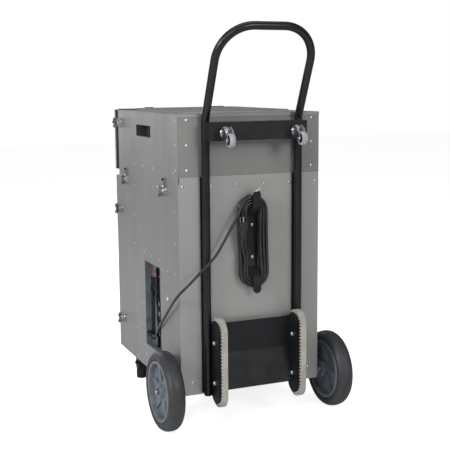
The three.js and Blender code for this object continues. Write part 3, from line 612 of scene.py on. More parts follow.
def hex_bolt():
    piece = Piece("bolt", "zinc").washer(0.0005, 0.0088, -0.0005, 0.0012, ORIGIN, Z, 24)
    head = [(0.0005, 0.001), (0.007, 0.001), (0.007, 0.0052), (0.006, 0.0062), (0.0005, 0.0064)]
    return piece.lathe(head, ORIGIN, Z, 6).data()


def carriage_bolt():
    piece = Piece("carriage", "zinc").washer(0.0005, 0.0098, -0.0005, 0.001, ORIGIN, Z, 24)
    return piece.dome((0, 0, 0.0008), Z, 0.0082, 0.0052, 24).data()


def dome_bolt():
    return Piece("dome", "zinc").dome((0, 0, -0.0004), Z, 0.008, 0.0088, 24).data()


# Power cord.
CORD_DIAMETER = 0.0086
CORD_ROUTE = [
    (0.2325, -0.0494, 0.226), (0.2328, -0.032, 0.227), (0.2345, -0.01, 0.234),
    (0.2405, 0.02, 0.251), (0.2465, 0.05, 0.27), (0.2515, 0.08, 0.29),
    (0.2545, 0.11, 0.3095), (0.2585, 0.16, 0.344), (0.2615, 0.205, 0.375),
    (0.264, 0.245, 0.403), (0.2645, 0.275, 0.424), (0.2605, 0.302, 0.445),
    (0.2495, 0.32, 0.465), (0.234, 0.327, 0.482), (0.215, 0.324, 0.497),
    (0.197, 0.318, 0.51), (0.178, 0.312, 0.523), (0.159, 0.307, 0.538),
    (0.142, 0.3035, 0.553), (0.127, 0.301, 0.571), (0.11, 0.2995, 0.597),
    (0.094, 0.299, 0.623), (0.078, 0.2985, 0.649), (0.066, 0.298, 0.668),
    (0.0585, 0.2976, 0.681),
]  # fmt: skip
HANK_CENTRE = (0.001, 0.588)
HANK_RADIUS = 0.0274  # of the inmost turn
HANK_BACK_Y = 0.2708  # of the layer next to the casing
HANK_HALF_STRAIGHT = 0.099
HANK_TURNS = 8.76
HANK_SHIFT = 0.62  # the part of a turn after which the cord moves over to its next slot
HANK_PINCH = 0.0024  # how far each inner column leans in at half height
HANK_SWAY = 0.0022
CORD_PITCH = 0.0088
PLUG = Vector((0.049, 0.306, 0.645))


def hank_point(progress):
    """A point of the coiled cord; progress counts turns, and starts on the side where the cord comes in."""
    # The (column, layer) of each turn; column 0 is the inmost, layer 0 is next to the casing.
    slots = [(2, 2), (2, 1), (2, 0), (1, 0), (0, 0), (0, 1), (1, 1), (0, 2), (1, 2), (1, 2.6)]
    turn = int(progress)
    part = progress - turn
    ease = max(0.0, (part - HANK_SHIFT) / (1 - HANK_SHIFT))
    ease = ease * ease * (3 - 2 * ease)
    column, layer = (a + (b - a) * ease for a, b in zip(slots[turn], slots[turn + 1]))
    radius = HANK_RADIUS + CORD_PITCH * column
    depth = HANK_BACK_Y + CORD_PITCH * layer
    straight = 2 * HANK_HALF_STRAIGHT
    half = straight + math.pi * radius
    along = (part * 2 * half + straight) % (2 * half)
    side = 1 if along < half else -1
    along %= half
    if along < straight:
        u, v = side * radius, side * (along - HANK_HALF_STRAIGHT)
    else:
        angle = (along - straight) / radius
        u = side * radius * math.cos(angle)
        v = side * (radius * math.sin(angle) + HANK_HALF_STRAIGHT)
    reach = max(-1.0, min(1.0, v / HANK_HALF_STRAIGHT))
    pinch = HANK_PINCH * (2 - column) * math.cos(reach * math.pi / 2) * (1 if u > 0 else -1)
    sway = HANK_SWAY * math.sin(reach * 1.4 + 0.4)
    return Vector((HANK_CENTRE[0] + u - pinch + sway, depth, HANK_CENTRE[1] + v))


def make_cord():
    """The one cord: from the gland up to the hooks, round them, and into the plug."""
    start, steps, sample = 0.045, 260, 0.006
    coil = [hank_point(start + (HANK_TURNS - start) * i / steps) for i in range(steps + 1)]
    tail = [PLUG - 0.058 * Z - 0.003 * Y, PLUG - 0.036 * Z]
    line = smooth_path([*CORD_ROUTE, *coil, *tail], sample)
    curve = bpy.data.curves.new("power_cord_line", "CURVE")
    curve.dimensions = "3D"
    curve.bevel_depth = CORD_DIAMETER / 2
    curve.bevel_resolution = 4
    spline = curve.splines.new("POLY")
    spline.points.add(len(line) - 1)
    for point, place in zip(spline.points, line):
        point.co = (*place, 1)
    spline.use_smooth = True
    curve.materials.append(MATERIALS["cord"])
    cord = add_object("cord_line", curve)
    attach(cord, "truck")
    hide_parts("power_cord", "cord_hank")
    make_plug()


def make_plug():
    """A moulded three-pin plug with finger ribs, pointing up, its tapered sleeve below."""
    x, y, z = PLUG
    piece = Piece("plug", "cord", "nickel")
    ribs, pitch, rib_height = 7, 0.0037, 0.0039
    for i in range(ribs):
        half = 0.0118 if i % 2 else 0.0128
        low = z - 0.013 + i * pitch
        piece.box((x - half, y - half + 0.001, low), (x + half, y + half - 0.001, low + rib_height))
    sleeve = [(0.0012, -0.037), (0.0058, -0.037), (0.0064, -0.03), (0.0075, -0.024), (0.0115, -0.0128)]
    piece.lathe([*sleeve, (0.0012, -0.0125)], PLUG, Z, 20)
    for side in (1, -1):
        blade = x + side * 0.0064
        piece.box((blade - 0.0008, y - 0.006, z + 0.012), (blade + 0.0008, y + 0.0005, z + 0.028), "nickel")
    piece.tube([(x, y + 0.0065, z + 0.012), (x, y + 0.0065, z + 0.029)], 0.0023, 12, "nickel")
    return piece.make("truck", ["power_plug"], "cord_rubber", bevel=0.0007)


# Hand truck.
POST_X, POST_Y, TUBE = 0.159, 0.277, 0.0127


def handle_line():
    """Centre line of the bent tube, read from the frame's box: from foot to foot over the top bar."""
    low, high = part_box("handle_frame")
    bend_z, soft, corner = 0.975, 0.014, 0.11
    top = Vector((POST_X, high.y - TUBE, high.z - TUBE))
    lean = (top - Vector((POST_X, POST_Y, bend_z))).normalized()
    half = [Vector((POST_X, POST_Y, low.z)), Vector((POST_X, POST_Y, bend_z - soft))]
    knee = Vector((POST_X, POST_Y, bend_z))
    below, above = knee - Z * soft, knee + lean * soft
    half += [below.lerp(knee, t).lerp(knee.lerp(above, t), t) for t in (0.2, 0.4, 0.6, 0.8, 1)]
    centre = top - lean * corner
    centre.x -= corner
    half += [centre + X * across + lean * up for across, up in arc_points((0, 0), corner, 0, 90, 16)]
    return half + [Vector((-p.x, p.y, p.z)) for p in reversed(half)]


def make_handle():
    """The bent tube with plastic end plugs, a rail between each post and the casing, and a bolt."""
    low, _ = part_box("handle_frame")
    rail_half, rail_y, rail_low, rail_high, bolt_z = 0.014, 0.2603, 0.111, 0.7995, 0.968
    plug = [(0.001, 0.0004), (TUBE - 0.0016, 0.0004), (TUBE - 0.0022, -0.0015), (0.001, -0.0018)]
    handle = Piece("handle_tube", "black", "plastic").tube(handle_line(), TUBE, 32)
    for side in SIDES.values():
        x = side * POST_X
        handle.box((x - rail_half, rail_y, rail_low), (x + rail_half, POST_Y - TUBE + 0.001, rail_high))
        handle.lathe(plug, (x, POST_Y, low.z), Z, 24, "plastic")
    handle.make("truck", ["handle_frame"], "black_paint")
    bolt = [((-POST_X, POST_Y + TUBE, bolt_z), Y)]
    scatter("handle_bolts", "truck", hex_bolt(), bolt, "black", 0.9)


def make_climbers():
    """Each climber: a black core, a cheek plate with two bolts on each face, and a toothed belt round it."""
    root, tip, deep, lap, tooth_half = 0.0031, 0.0025, -0.0088, 0.0004, 0.0093
    tooth = Piece("belt_tooth", "belt")
    tooth.prism([(-root, lap), (root, lap), (tip, deep), (-tip, deep)], "y", -tooth_half, tooth_half)
    master = tooth.data()
    band, count, set_back, sheet, gap = 0.004, 60, 0.019, 0.0022, 0.0006
    bolt_y, bolt_heights = 0.312, (0.2805, 0.1506)
    for hand in SIDES:
        low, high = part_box(f"{hand}_climber_belt")
        centre = middle_of(f"{hand}_climber_belt")
        middle = centre[1:]
        radius = (high.y - low.y) / 2
        half = (high.z - low.z) / 2 - radius
        plate = Piece(f"{hand}_climber_core", "sheet")
        plate.prism(obround(middle, radius - band + deep - lap, half), "x", low.x, high.x)
        cheek = obround((middle[0] - set_back / 2, middle[1]), radius - set_back / 2, half)
        bolts = []
        for face, way in ((low.x, -1), (high.x, 1)):
            end = face + way * (gap + sheet)
            plate.prism(cheek, "x", *sorted((face + way * gap, end)))
            bolts += [((end, bolt_y, z), way * X) for z in bolt_heights]
        plate.make("truck", [f"{hand}_climber_plate"], "black_paint", bevel=0.0009)
        belt = Piece(f"{hand}_belt_band", "belt")
        section = ((low.x, 0), (high.x, 0), (high.x, band), (low.x, band))
        loops = [[(x, *uv) for uv in obround(middle, radius - depth, half, 24)] for x, depth in section]
        belt.rings(loops, True)
        belt.make("truck", [f"{hand}_climber_belt"], "belt_rubber", bevel=0.0007)
        run = radius - band
        around = 4 * half + 2 * math.pi * run
        places = []
        for i in range(count):
            point, outward = belt_place((i + 0.5) * around / count, run, half)
            turn = Matrix((X.cross(outward), X, outward)).transposed()
            places.append((Vector(centre) + point, turn))
        scatter(f"{hand}_belt_teeth", "truck", master, places, "belt")
        scatter(f"{hand}_climber_bolts", "truck", dome_bolt(), bolts, "zinc", 0.8)


def belt_place(distance, radius, half_straight):
    """Point and outward direction at a distance round an upright long loop in the YZ plane."""
    straight = 2 * half_straight
    half = straight + math.pi * radius
    side = 1 if distance % (2 * half) < half else -1
    along = distance % half
    if along < straight:
        return Vector((0, side * radius, side * (along - half_straight))), side * Y
    angle = (along - straight) / radius
    outward = side * (math.cos(angle) * Y + math.sin(angle) * Z)
    return outward * radius + side * half_straight * Z, outward


def make_tyre(hand, centre):
    """A tyre with a rib round each sidewall and a grooved tread."""
    half = [(0.0985, 0.02), (0.101, 0.024), (0.1045, 0.0264), (0.1085, 0.027), (0.112, 0.0267)]
    half += [(0.1128, 0.0259), (0.114, 0.0257), (0.115, 0.0259), (0.1185, 0.0238), (0.122, 0.0198)]
    half += [(0.1246, 0.0152), (0.1258, 0.011), (0.1264, 0.0073), (0.1261, 0.0068), (0.1266, 0.0063)]
    half += [(0.127, 0.002)]
    tyre = Piece(f"{hand}_wheel_tyre", "tyre").lathe(mirrored(half), centre, X, 96)
    tyre.make(f"{hand}_wheel", [f"{hand}_tyre"], "tyre_rubber", smooth=30)


def make_hub(hand, side, centre):
    """A hub with a deep rim, a web, six thick ribs, and a boss that is longest on its inner face."""
    rim = mirrored([(0.088, 0.023), (0.089, 0.0258), (0.098, 0.0258), (0.0984, 0.02)])
    web = mirrored([(0.018, 0.015), (0.034, 0.008), (0.066, 0.005), (0.0865, 0.0085)])
    boss = [(0.0086, 0.024), (0.02, 0.024), (0.0225, 0.0216), (0.026, 0), (0.0245, -0.0325)]
    boss += [(0.0225, -0.0342), (0.0086, -0.0342)]
    hub = Piece(f"{hand}_wheel_centre", "hub")
    hub.lathe([*rim, (0.086, -0.014), (0.086, 0.014)], centre, X, 72)
    hub.lathe(web, centre, X, 64)
    hub.lathe(boss, centre, side * X, 32)
    rib, rib_half, first_angle = mirrored([(0.02, 0.015), (0.0865, 0.0085)]), 0.0125, 20
    for i in range(6):
        spoke = Matrix.Translation(centre) @ Matrix.Rotation(math.radians(60 * i + first_angle), 4, "X")
        loops = [[spoke @ Vector((x, w, r)) for r, w in rib] for x in (-rib_half, rib_half)]
        hub.rings(loops, False)
    hub.make(f"{hand}_wheel", [f"{hand}_wheel_hub"], "hub_plastic", bevel=0.0024)


def make_axle_end(hand, side, centre):
    """A washer, a nut and the axle's rounded end outside the hub, and a spacer inside it."""
    nut_x, spacer_x = 0.3185, 0.2444
    end = Vector((side * nut_x, centre.y, centre.z))
    nut = Piece(f"{hand}_axle_nut", "axle").washer(0.0084, 0.0145, 0, 0.0016, end, side * X, 28)
    flats = [(0.0082, 0.002), (0.0105, 0.002), (0.0105, 0.006), (0.0095, 0.007), (0.0082, 0.007)]
    nut.lathe(flats, end, side * X, 6)
    nut.dome(end + side * 0.003 * X, side * X, 0.0076, 0.0062, 18)
    spacer = [(0.0086, 0), (0.015, 0), (0.0158, 0.0006), (0.0158, 0.0148), (0.0086, 0.0152)]
    nut.lathe(spacer, (side * spacer_x, centre.y, centre.z), side * X, 32)
    nut.make("truck", slot="axle_steel", bevel=0.0004)


def make_wheels():
    for hand, side in SIDES.items():
        centre = Vector(middle_of(f"{hand}_tyre"))
        make_tyre(hand, centre)
        make_hub(hand, side, centre)
        make_axle_end(hand, side, centre)


def make_caster_race(hand, pivot):
    """The fixed plate on the crossbar, and the ball race that stands on it."""
    plate = Piece(f"{hand}_caster_race", "sheet")
    flange = [(0.002, 0.0004), (0.0238, 0.0004), (0.024, 0.0022), (0.0222, 0.0034), (0.002, 0.0036)]
    neck = [(0.002, 0.003), (0.02, 0.003), (0.0206, 0.0075), (0.0196, 0.0136), (0.002, 0.014)]
    plate.lathe(flange, pivot, Y, 36)
    plate.lathe(neck, pivot, Y, 36)
    plate.make("truck", [f"{hand}_caster_plate"], "zinc_plate", smooth=28)


def make_caster_fork(hand, pivot, hub):
    """The turning crown with its rings, two pressed legs, and the wheel's pin."""
    fork = Piece(f"{hand}_caster_yoke", "zinc", "screw")
    crown = [(0.002, 0.0144), (0.0168, 0.0144), (0.0184, 0.0162), (0.0184, 0.0196), (0.0172, 0.021)]
    crown += [(0.0166, 0.0198), (0.0158, 0.0198), (0.016, 0.024), (0.0144, 0.0252), (0.0132, 0.0236)]
    crown += [(0.0118, 0.0236), (0.0108, 0.0262), (0.009, 0.0266), (0.008, 0.0246), (0.002, 0.0248)]
    fork.lathe(crown, pivot, Y, 36)
    fork.dome(pivot + 0.0244 * Y, Y, 0.0056, 0.0036, 20, "screw")
    top, drop, eye = pivot.y, (hub - pivot).z, 0.0085
    outline = [(top + 0.015, 0.017), (top + 0.03, 0.0185), (top + 0.044, 0.009)]
    outline += [(hub.y + eye, drop + 0.006), *arc_points((hub.y, drop), eye, 20, -130, 10)]
    outline += [(top + 0.03, drop + 0.001), (top + 0.015, -0.015)]
    outline = [(y, z + pivot.z) for y, z in outline]
    for leg in (1, -1):
        fork.prism(outline, "x", *sorted((pivot.x + leg * 0.0111, pivot.x + leg * 0.0134)))
        fork.dome((pivot.x + leg * 0.0133, hub.y, hub.z), leg * X, 0.0052, 0.0026, 16, "screw")
    fork.tube([hub - 0.0125 * X, hub + 0.0125 * X], 0.0034, 16, "screw")
    fork.make(f"{hand}_caster", [f"{hand}_caster_fork"], "zinc_plate", bevel=0.0005)


def make_caster_wheel(hand, hub):
    """A grey tread with rounded shoulders on a black core."""
    wheel = Piece(f"{hand}_caster_tread", "caster", "plastic")
    tread = [(0.015, 0.0088), (0.018, 0.009), (0.0203, 0.0078), (0.0213, 0.005)]
    wheel.lathe(mirrored(tread, (0.0215, 0)), hub, X, 40)
    core = [(0.0037, 0.0096), (0.0068, 0.0096), (0.0075, 0.006), (0.0135, 0.0055), (0.0152, 0.0085)]
    wheel.lathe(mirrored(core), hub, X, 32, "plastic")
    wheel.make(f"{hand}_caster_roller", [f"{hand}_caster_wheel"], "caster_rubber", smooth=30)


def make_casters():
    """Swivel casters on the crossbar, on which the machine rolls when it lies on its back."""
    pivot_z = 0.938
    for hand in SIDES:
        hub = Vector(middle_of(f"{hand}_caster_wheel"))
        pivot = Vector((hub.x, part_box("upper_crossbar")[1].y, pivot_z))
        make_caster_race(hand, pivot)
        make_caster_fork(hand, pivot, hub)
        make_caster_wheel(hand, hub)


def make_cord_hooks():
    """The folded strip that the cord is wound on: flat on the back, with a slanting arm and lip each way."""
    low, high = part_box("cord_wrap")
    middle_x, _, middle_z = middle_of("cord_wrap")
    sheet, lip, plate_end, lip_start = 0.003, 0.0138, 0.0825, 0.1095
    near, outer, tip = low.y, high.y - sheet, high.z - middle_z - lip
    stations = [(near, 0.0, 0.017), (near, plate_end - 0.006, 0.017), (near + 0.003, plate_end, 0.017)]
    stations += [(outer - 0.004, lip_start - 0.001, 0.0146), (outer, lip_start + 0.005, lip)]
    stations.append((outer, tip, lip))
    for angle in (20, 40, 60, 76, 87):
        turn = math.radians(angle)
        stations.append((outer, tip + lip * math.sin(turn), lip * math.cos(turn)))
    strip = Piece("cord_hooks", "sheet")
    for way in (1, -1):
        loops = []
        for y, z, half in stations:
            corners = ((-half, 0), (half, 0), (half, sheet), (-half, sheet))
            loops.append([(middle_x + across, y + out, middle_z + way * z) for across, out in corners])
        strip.rings(loops, False)
    strip.make("truck", ["cord_wrap"], "black_paint", bevel=0.0006)
    screws = [((middle_x, near + sheet, z), Y) for z in (0.64, 0.5356)]
    scatter("cord_hook_screws", "truck", pan_screw(), screws, "screw", 1.0)


def make_cord_tie():
    """The end of a pale tie above the upper hook."""
    line = smooth_path([(0.004, 0.2975, 0.747), (-0.006, 0.303, 0.754), (-0.014, 0.305, 0.759)], 0.003)
    tie = Piece("cord_tie", "cream").tube(line, 0.0032, 8, squash=0.45)
    tie.make("truck", slot="filter_media")


def make_feet():
    """Feet with a round sole under a square block, which has a bolt in its outer and its back face."""
    sole = [(0.001, 0), (0.0172, 0), (0.019, 0.0022), (0.019, 0.034), (0.0175, 0.0355), (0.001, 0.0355)]
    half, block_rise, bolt_rise = 0.0165, 0.034, 0.058
    for hand, side in SIDES.items():
        low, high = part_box(f"{hand}_front_foot")
        x, y, _ = middle_of(f"{hand}_front_foot")
        foot = Piece(f"{hand}_foot_block", "plastic").lathe(sole, (x, y, low.z), Z, 32)
        foot.box((x - half, y - half, low.z + block_rise), (x + half, y + half, high.z))
        foot.make("truck", [f"{hand}_front_foot"], "foot_rubber", bevel=0.0012)
        bolt_z = low.z + bolt_rise
        heads = [((x + side * half, y, bolt_z), side * X), ((x, y + half, bolt_z), Y)]
        scatter(f"{hand}_foot_bolts", "truck", dome_bolt(), heads, "sheet", 0.8)


# Latches.
def latch_frame(side, centre, along):
    """A matrix that takes (outward, along, across) to the row frame, from a centre on the side panel."""
    outward = side * X
    matrix = Matrix((outward, along, outward.cross(along))).transposed().to_4x4()
    matrix.translation = centre
    return matrix


def make_latch_wing(name, side, centre):
    """The wing that is turned by hand: a stepped disc, a raised ring and a folded butterfly grip."""
    low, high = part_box(name)
    half = (high.z - low.z) / 2
    reach = max(abs(low.x), abs(high.x)) - PANEL_X
    wing = Piece(f"{name}_wing", "nickel", "foam")
    disc = [(0.0004, 0.0076), (0.0136, 0.0076), (0.014, 0.0084), (0.013, 0.0104), (0.0092, 0.0108)]
    wing.lathe([*disc, (0.0084, 0.0134), (0.0004, 0.0138)], (0, 0, 0), X, 30)
    lobe = arc_points((reach - 0.0066, half - 0.0072), 0.0066, 10, 115, 8)
    edge = [(reach - 0.0036, 0.004), *lobe, (0.0112, half - 0.004)]
    outline = [(reach - 0.0048, 0.0), *mirrored(edge)]
    wing.rings([[(u, v, w) for u, v in outline] for w in (-0.0022, 0.0022)], False)
    for v in (-1, 1):
        hollow = (reach - 0.0068, v * (half - 0.0078), 0)
        for face in (-1, 1):
            wing.dome(Vector(hollow) + face * 0.0021 * Z, face * Z, 0.0044, 0.0012, 14)
            wing.dome(Vector(hollow) + face * 0.003 * Z, face * Z, 0.0022, 0.001, 12, "foam")
    wing.place(latch_frame(side, centre, Z)).make(name, [name], "latch_steel", bevel=0.0005, smooth=45)


def make_latch_base(name, place, link_end, body):
    """A riveted plate with a round boss, and the waisted link that reaches to the keeper."""
    base = Piece(f"{name}_base", "nickel", "screw", "foam")
    plate = list(arc_points((0, 0), 0.0178, 0, 345, 23))
    base.rings([[(u, v, w) for v, w in plate] for u in (0.0, 0.0018)], False)
    boss = [(0.0004, 0.001), (0.0165, 0.001), (0.016, 0.0056), (0.0148, 0.007), (0.0004, 0.007)]
    base.lathe(boss, (0, 0, 0), X, 32)
    stations = [(0.002, 0.0142), (0.01, 0.014), (0.017, 0.0112), (0.024, 0.0074), (0.029, 0.0058)]
    stations += [(link_end - 0.01, 0.0046), (link_end - 0.005, 0.0062), (link_end, 0.0054)]
    base.rings([[(u, v, w) for v, w in mirrored(stations)] for u in (0.0056, 0.0074)], False)
    base.tube([(0.0072, 0.015, w) for w in (-0.0075, 0.0075)], 0.0022, 12, "screw")
    for v, w in ((-0.0158, 0), (0, -0.0158), (0, 0.0158)):
        base.dome((0.0014, v, w), X, 0.0018, 0.001, 12, "foam")
    base.place(place).make(body, slot="latch_steel", bevel=0.0004)


def make_latch_keeper(name, place, link_end, body):
    """The plate on the other section, with the stud that the link hooks on to, black as painted shade at the
    hook.
    """
    keeper = Piece(f"{name}_keeper", "nickel", "foam")
    keeper.box((0.0, link_end - 0.01, -0.0072), (0.0016, link_end + 0.002, 0.0072))
    keeper.box((0.0012, link_end - 0.0085, -0.0046), (0.0052, link_end - 0.0005, 0.0046))
    # The stud and its pin are dull black: painted shade where the link hooks on.
    keeper.dome((0.0076, link_end - 0.004, 0), X, 0.0046, 0.0036, 16, "foam")
    keeper.tube([(0.0012, link_end - 0.004, 0), (0.008, link_end - 0.004, 0)], 0.002, 12, "foam")
    keeper.place(place).make(body, slot="latch_steel", bevel=0.0003)


def make_latches():
    for hand, side in SIDES.items():
        for name, along, link_end, base, keeper in (
            (f"{hand}_front_section_latch", Z, 0.041, "truck", "fan_section"),
            (f"{hand}_rear_section_latch", Z, 0.041, "truck", "fan_section"),
            (f"{hand}_high_cover_latch", -Y, 0.052, "truck", "front_cover"),
            (f"{hand}_low_cover_latch", -Y, 0.052, "truck", "front_cover"),
            (f"{hand}_door_latch", -Y, 0.062, "fan_section", "front_door"),
        ):
            _, y, z = middle_of(name)
            centre = Vector((side * PANEL_X, y, z))
            make_latch_wing(name, side, centre)
            place = latch_frame(side, centre, along)
            make_latch_base(name, place, link_end, base)
            make_latch_keeper(name, place, link_end, keeper)


# Casing details.
SIDE_RIVETS_UPPER = [
    (-0.183, 0.809), (-0.083, 0.81), (0.02, 0.81), (0.236, 0.82), (0.217, 0.812), (0.236, 0.974),
    (0.235, 0.898),
]  # fmt: skip
SIDE_RIVETS_LOWER = [
    (-0.266, 0.6815), (-0.189, 0.733), (-0.197, 0.63), (0.227, 0.689), (-0.194, 0.528),
    (0.226, 0.591), (-0.091, 0.5116), (-0.013, 0.5114), (-0.126, 0.4846), (0.068, 0.5126),
    (0.097, 0.4834), (0.151, 0.4884), (0.226, 0.493), (-0.121, 0.3277), (-0.189, 0.2225),
    (-0.115, 0.1778), (-0.188, 0.1195), (-0.09, 0.1496),
]  # fmt: skip


def make_fixings():
    """Rivets and knob screws on both sides, screws on the back and rivets on the cross plate."""
    rivet, screw = rivet_head(), pan_screw()
    for body, places in (("fan_section", SIDE_RIVETS_UPPER), ("truck", SIDE_RIVETS_LOWER)):
        spots = [((s * PANEL_X, y, z), s * X) for s in SIDES.values() for y, z in places]
        # The rivets' lighter grey is a painted highlight.
        scatter(f"side_rivets_{body}", body, rivet, spots, "rivet")
    upper = [(s * 0.215, z) for s in SIDES.values() for z in (0.9745, 0.898, 0.8207)]
    lower = [(s * x, 0.7695) for s in SIDES.values() for x in (0.2295, 0.137, 0.0465)]
    lower += [(s * 0.2067, 0.146) for s in SIDES.values()]
    for body, places in (("fan_section", upper), ("truck", lower)):
        spots = [((x, BACK_Y, z), Y) for x, z in places]
        scatter(f"back_screws_{body}", body, screw, spots, "screw", 1.0)
    knobs = [((s * PANEL_X, 0.149, 0.398), s * X) for s in SIDES.values()]
    scatter("side_knob_screws", "truck", carriage_bolt(), knobs, "screw", 0.6)
    plate_y, plate_places = 0.2844, ((0.068, 0.251), (0.01, 0.289), (-0.046, 0.251), (-0.106, 0.289))
    cross = [((x, plate_y, z), Y) for x, z in plate_places]
    scatter("cross_plate_bolts", "truck", rivet, cross, "black", 0.6)


def make_roof_louvres():
    """Raised bent slats over the slots of the roof grille, each with a black strip in its mouth as painted
    shade under the slat.
    """
    _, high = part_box("top_grille")
    slat_half, strip_half = 0.188, 0.186
    bend = [(-0.006, -0.0004), (-0.0052, -0.0004), (0.0008, 0.005), (0.0066, 0.0056)]
    bend += [(0.0066, 0.0066), (0.0004, 0.006)]
    master = Piece("louvre", "side").prism(bend, "x", -slat_half, slat_half).data()
    first, pitch, count = -0.304, 0.024, 20
    places = [((0, first + pitch * i, high.z), Z) for i in range(count)]
    scatter("roof_louvres", "fan_section", master, places, "side")
    # Black strips under the slats: painted shade in the mouths of the slots.
    strip = Piece("mesh_strip", "foam").box((-strip_half, -0.0015, 0.0002), (strip_half, 0.0052, 0.0046))
    scatter("roof_mesh_strips", "fan_section", strip.data(), places, "foam")


def make_gland():
    """The strain relief that the cord comes out of: a nut and a ringed sleeve that tapers."""
    low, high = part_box("cord_gland")
    x, _, z = middle_of("cord_gland")
    centre = Vector((x, low.y, z))
    gland = Piece("gland_body", "plastic")
    gland.lathe([(0.0047, 0), (0.0094, 0), (0.0094, 0.008), (0.008, 0.0092), (0.0047, 0.0095)], centre, Y, 6)
    sleeve = [(0.0046, 0.008)]
    for i in range(8):
        grown = 0.0078 - 0.00025 * i
        sleeve += [(grown, 0.009 + 0.0034 * i), (grown, 0.0112 + 0.0034 * i)]
        sleeve += [(grown - 0.001, 0.0114 + 0.0034 * i), (grown - 0.001, 0.0123 + 0.0034 * i)]
    sleeve.append((0.0046, high.y - low.y))
    gland.lathe(sleeve, centre, Y, 24)
    gland.make("truck", ["cord_gland"], "black_plastic", smooth=30)


def make_drain_fitting():
    """A stub out of the bay's wall and a barbed hose end that hangs from it."""
    low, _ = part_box("drain_fitting")
    y = middle_of("drain_fitting")[1]
    fitting = Piece("drain_elbow", "plastic")
    stub = [(0.001, 0), (0.01, 0), (0.01, 0.004), (0.0082, 0.006), (0.0075, 0.014), (0.001, 0.015)]
    fitting.lathe(stub, (low.x, y, 0.392), X, 24)
    barb = [(0.004, -0.001), (0.0062, -0.001), (0.005, 0.006), (0.0066, 0.007), (0.0052, 0.014)]
    barb += [(0.0068, 0.016), (0.0068, 0.026), (0.004, 0.027)]
    fitting.lathe(barb, (0.2295, y, 0.367), Z, 20)
    fitting.make("truck", ["drain_fitting"], "black_plastic", bevel=0.0003)


def make_bay_lamps(wall):
    """Two red indicator lamps, each in a black ring."""
    lamps = Piece("bay_lamps", "red", "plastic")
    for y, z in ((-0.03, 0.452), (0.012, 0.444)):
        lamps.washer(0.001, 0.0072, 0, 0.0022, (wall, y, z), X, 20, "plastic")
        lamps.dome((wall + 0.002, y, z), X, 0.0052, 0.0042, 18)
    lamps.make("truck", slot="red_plastic")


def make_bay_bracket(wall, low_z, high_z):
    """An upright angle from the bottom of the bay to its top."""
    sheet, edge, depth = 0.0016, 0.002, 0.011
    strip = Piece("bay_bracket", "sheet")
    strip.box((wall, -0.018, low_z), (wall + sheet, edge, high_z))
    strip.box((wall, edge - 0.0015, low_z), (wall + depth, edge, high_z))
    strip.make("truck", slot="black_paint", bevel=0.0004)


def make_bay_terminals(wall):
    """A tall strip, a row of terminal blocks with a zinc tag on each, and a bar below them."""
    blocks = Piece("bay_terminals", "plastic", "sheet", "zinc")
    blocks.box((wall, -0.08, 0.206), (wall + 0.004, -0.052, 0.43), "sheet")
    for z, tall in ((0.352, 0.02), (0.318, 0.024), (0.282, 0.014), (0.25, 0.018)):
        blocks.box((wall, 0.02, z - tall / 2), (wall + 0.012, 0.052, z + tall / 2))
        blocks.box((wall + 0.011, 0.026, z - tall / 4), (wall + 0.014, 0.034, z + tall / 4), "zinc")
    blocks.box((wall, 0.01, 0.196), (wall + 0.006, 0.068, 0.214), "sheet")
    blocks.make("truck", slot="black_plastic", bevel=0.0008)


def make_bay_wires(wall):
    """Four thin wires from the top of the bay to the terminal blocks."""
    wires = Piece("bay_wires", "cord", "plastic")
    for i, finish in enumerate(("cord", "plastic", "cord", "cord")):
        top = (wall + 0.004, -0.034 + 0.005 * i, 0.436)
        middle = (wall + 0.007, -0.03 + 0.004 * i, 0.39 - 0.012 * i)
        turn = (wall + 0.009, 0.004 + 0.004 * i, 0.366 - 0.02 * i)
        end = (wall + 0.006, 0.026, 0.352 - 0.034 * i)
        wires.tube(smooth_path([top, middle, turn, end], 0.006), 0.0016, 8, finish)
    wires.make("truck", slot="cord_rubber")


def make_bay_details():
    """What is seen in the recess of the left side. The wall is its bottom, which faces outwards."""
    low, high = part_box("control_bay")
    sheet, margin = 0.0016, 0.006
    wall = low.x + sheet
    make_gland()
    make_drain_fitting()
    make_bay_lamps(wall)
    make_bay_bracket(wall, low.z + margin, high.z - margin)
    make_bay_terminals(wall)
    make_bay_wires(wall)
    heads = [((wall, y, z), X) for y in (-0.066, 0.061) for z in (0.236, 0.3, 0.364, 0.428)]
    heads += [((wall + sheet, -0.008, z), X) for z in (0.212, 0.3, 0.42)]
    scatter("bay_screws", "truck", pan_screw(), heads, "screw", 1.0)


def make_seams():
    """Grey seal between the sections, black foam over the roof's front edge, black blocks as painted shade
    of the pockets' end slots.
    """
    seal = Piece("section_seal", "side")
    trim = Piece("roof_trim", "foam")
    _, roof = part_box("top_grille")
    for hand, side in SIDES.items():
        inner, outer = sorted((side * 0.2395, side * 0.2434))
        seal.box((inner, -0.366, 0.7752), (outer, 0.2575, 0.7768))
        low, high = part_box(f"{hand}_lift_handle")
        # A black block in the pocket's rear end: painted shade of the slot there.
        slot = Piece(f"{hand}_pocket_end", "foam")
        inner, outer = sorted((side * 0.212, side * 0.2443))
        slot.box((inner, high.y - 0.017, low.z + 0.0004), (outer, high.y - 0.0018, high.z - 0.0004))
        slot.make("fan_section", slot="black_plastic", bevel=0.0006)
    front, half = -0.3675, 0.2425
    trim.box((-half, front, roof.z), (half, front + 0.006, roof.z + 0.0035))
    for start, end in ((0.11, 0.142), (-0.172, -0.096)):
        trim.box((start, front + 0.001, roof.z), (end, front + 0.007, roof.z + 0.0075))
    seal.make("truck", slot="grey_paint")
    trim.make("fan_section", slot="gasket_foam", bevel=0.0004)


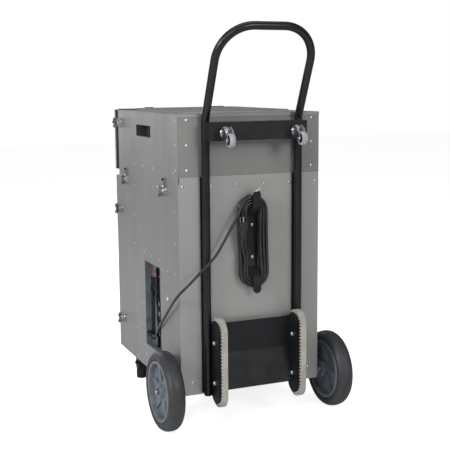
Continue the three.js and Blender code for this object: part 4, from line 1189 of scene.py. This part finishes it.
# Stage.
def make_stage():
    """A pale floor that runs into a pale backdrop, under five soft lamps."""
    low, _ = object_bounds()
    reach, gap = 14, 0.0002
    data = bpy.data.meshes.new("studio")
    builder = bmesh.new()
    bmesh.ops.create_grid(builder, x_segments=1, y_segments=1, size=reach)
    builder.to_mesh(data)
    builder.free()
    floor = add_object("studio", data)
    floor.location.z = low.z - gap
    ground = Surface("studio_floor")
    ground.colour(ground.noise(2, 2), "#f3f3f3", "#f7f7f7")
    ground.rough(ground.noise(3, 2), 0.7, 0.8)
    ground.shader.inputs["Emission Color"].default_value = linear("#ffffff")
    seen = add_node(ground.tree, "ShaderNodeLightPath").outputs["Is Camera Ray"]
    glow = add_node(ground.tree, "ShaderNodeMath", {0: seen}, operation="MULTIPLY")
    glow.inputs[1].default_value = 0.8
    ground.tree.links.new(glow.outputs[0], ground.shader.inputs["Emission Strength"])
    data.materials.append(ground.material)
    world = bpy.data.worlds.new("studio_light")
    bpy.context.scene.world = world
    world.use_nodes = True
    tree = world.node_tree
    seen = tree.nodes["Background"]
    seen.inputs["Color"].default_value = linear("#ffffff")
    lit = add_node(tree, "ShaderNodeBackground", Strength=0.2)
    lit.inputs["Color"].default_value = linear("#f6f7f8")
    ray = add_node(tree, "ShaderNodeLightPath")
    mix = add_node(tree, "ShaderNodeMixShader", {"Fac": ray.outputs["Is Camera Ray"]})
    tree.links.new(lit.outputs[0], mix.inputs[1])
    tree.links.new(seen.outputs[0], mix.inputs[2])
    tree.links.new(mix.outputs[0], tree.nodes["World Output"].inputs["Surface"])
    for name, place, aim, size, power in (
        ("left_key", (4.0, 1.7, 2.3), (0, 0, 0.6), 1.2, 100),
        ("corner_glow", (1.1, 1.9, 1.9), (0.1, 0.26, 0.75), 0.7, 9),
        ("right_key", (-1.2, 4.4, 2.3), (0, 0, 0.6), 1.2, 56),
        ("front_fill", (0.6, -3.6, 1.8), (0, 0, 0.6), 2.4, 34),
        ("top", (0, 0.2, 3.8), (0, 0, 1.0), 2.6, 26),
    ):
        lamp = bpy.data.lights.new(name, "AREA")
        lamp.size = size
        lamp.energy = power
        light = add_object(name, lamp)
        light.location = place
        light.rotation_euler = (Vector(place) - Vector(aim)).to_track_quat("Z", "Y").to_euler()
    bpy.context.scene.view_settings.view_transform = "Standard"


make_camera()
make_cord()
finish_cad_nodes()
make_handle()
make_climbers()
make_wheels()
make_casters()
make_cord_hooks()
make_cord_tie()
make_feet()
make_latches()
make_fixings()
make_roof_louvres()
make_bay_details()
make_seams()
make_stage()
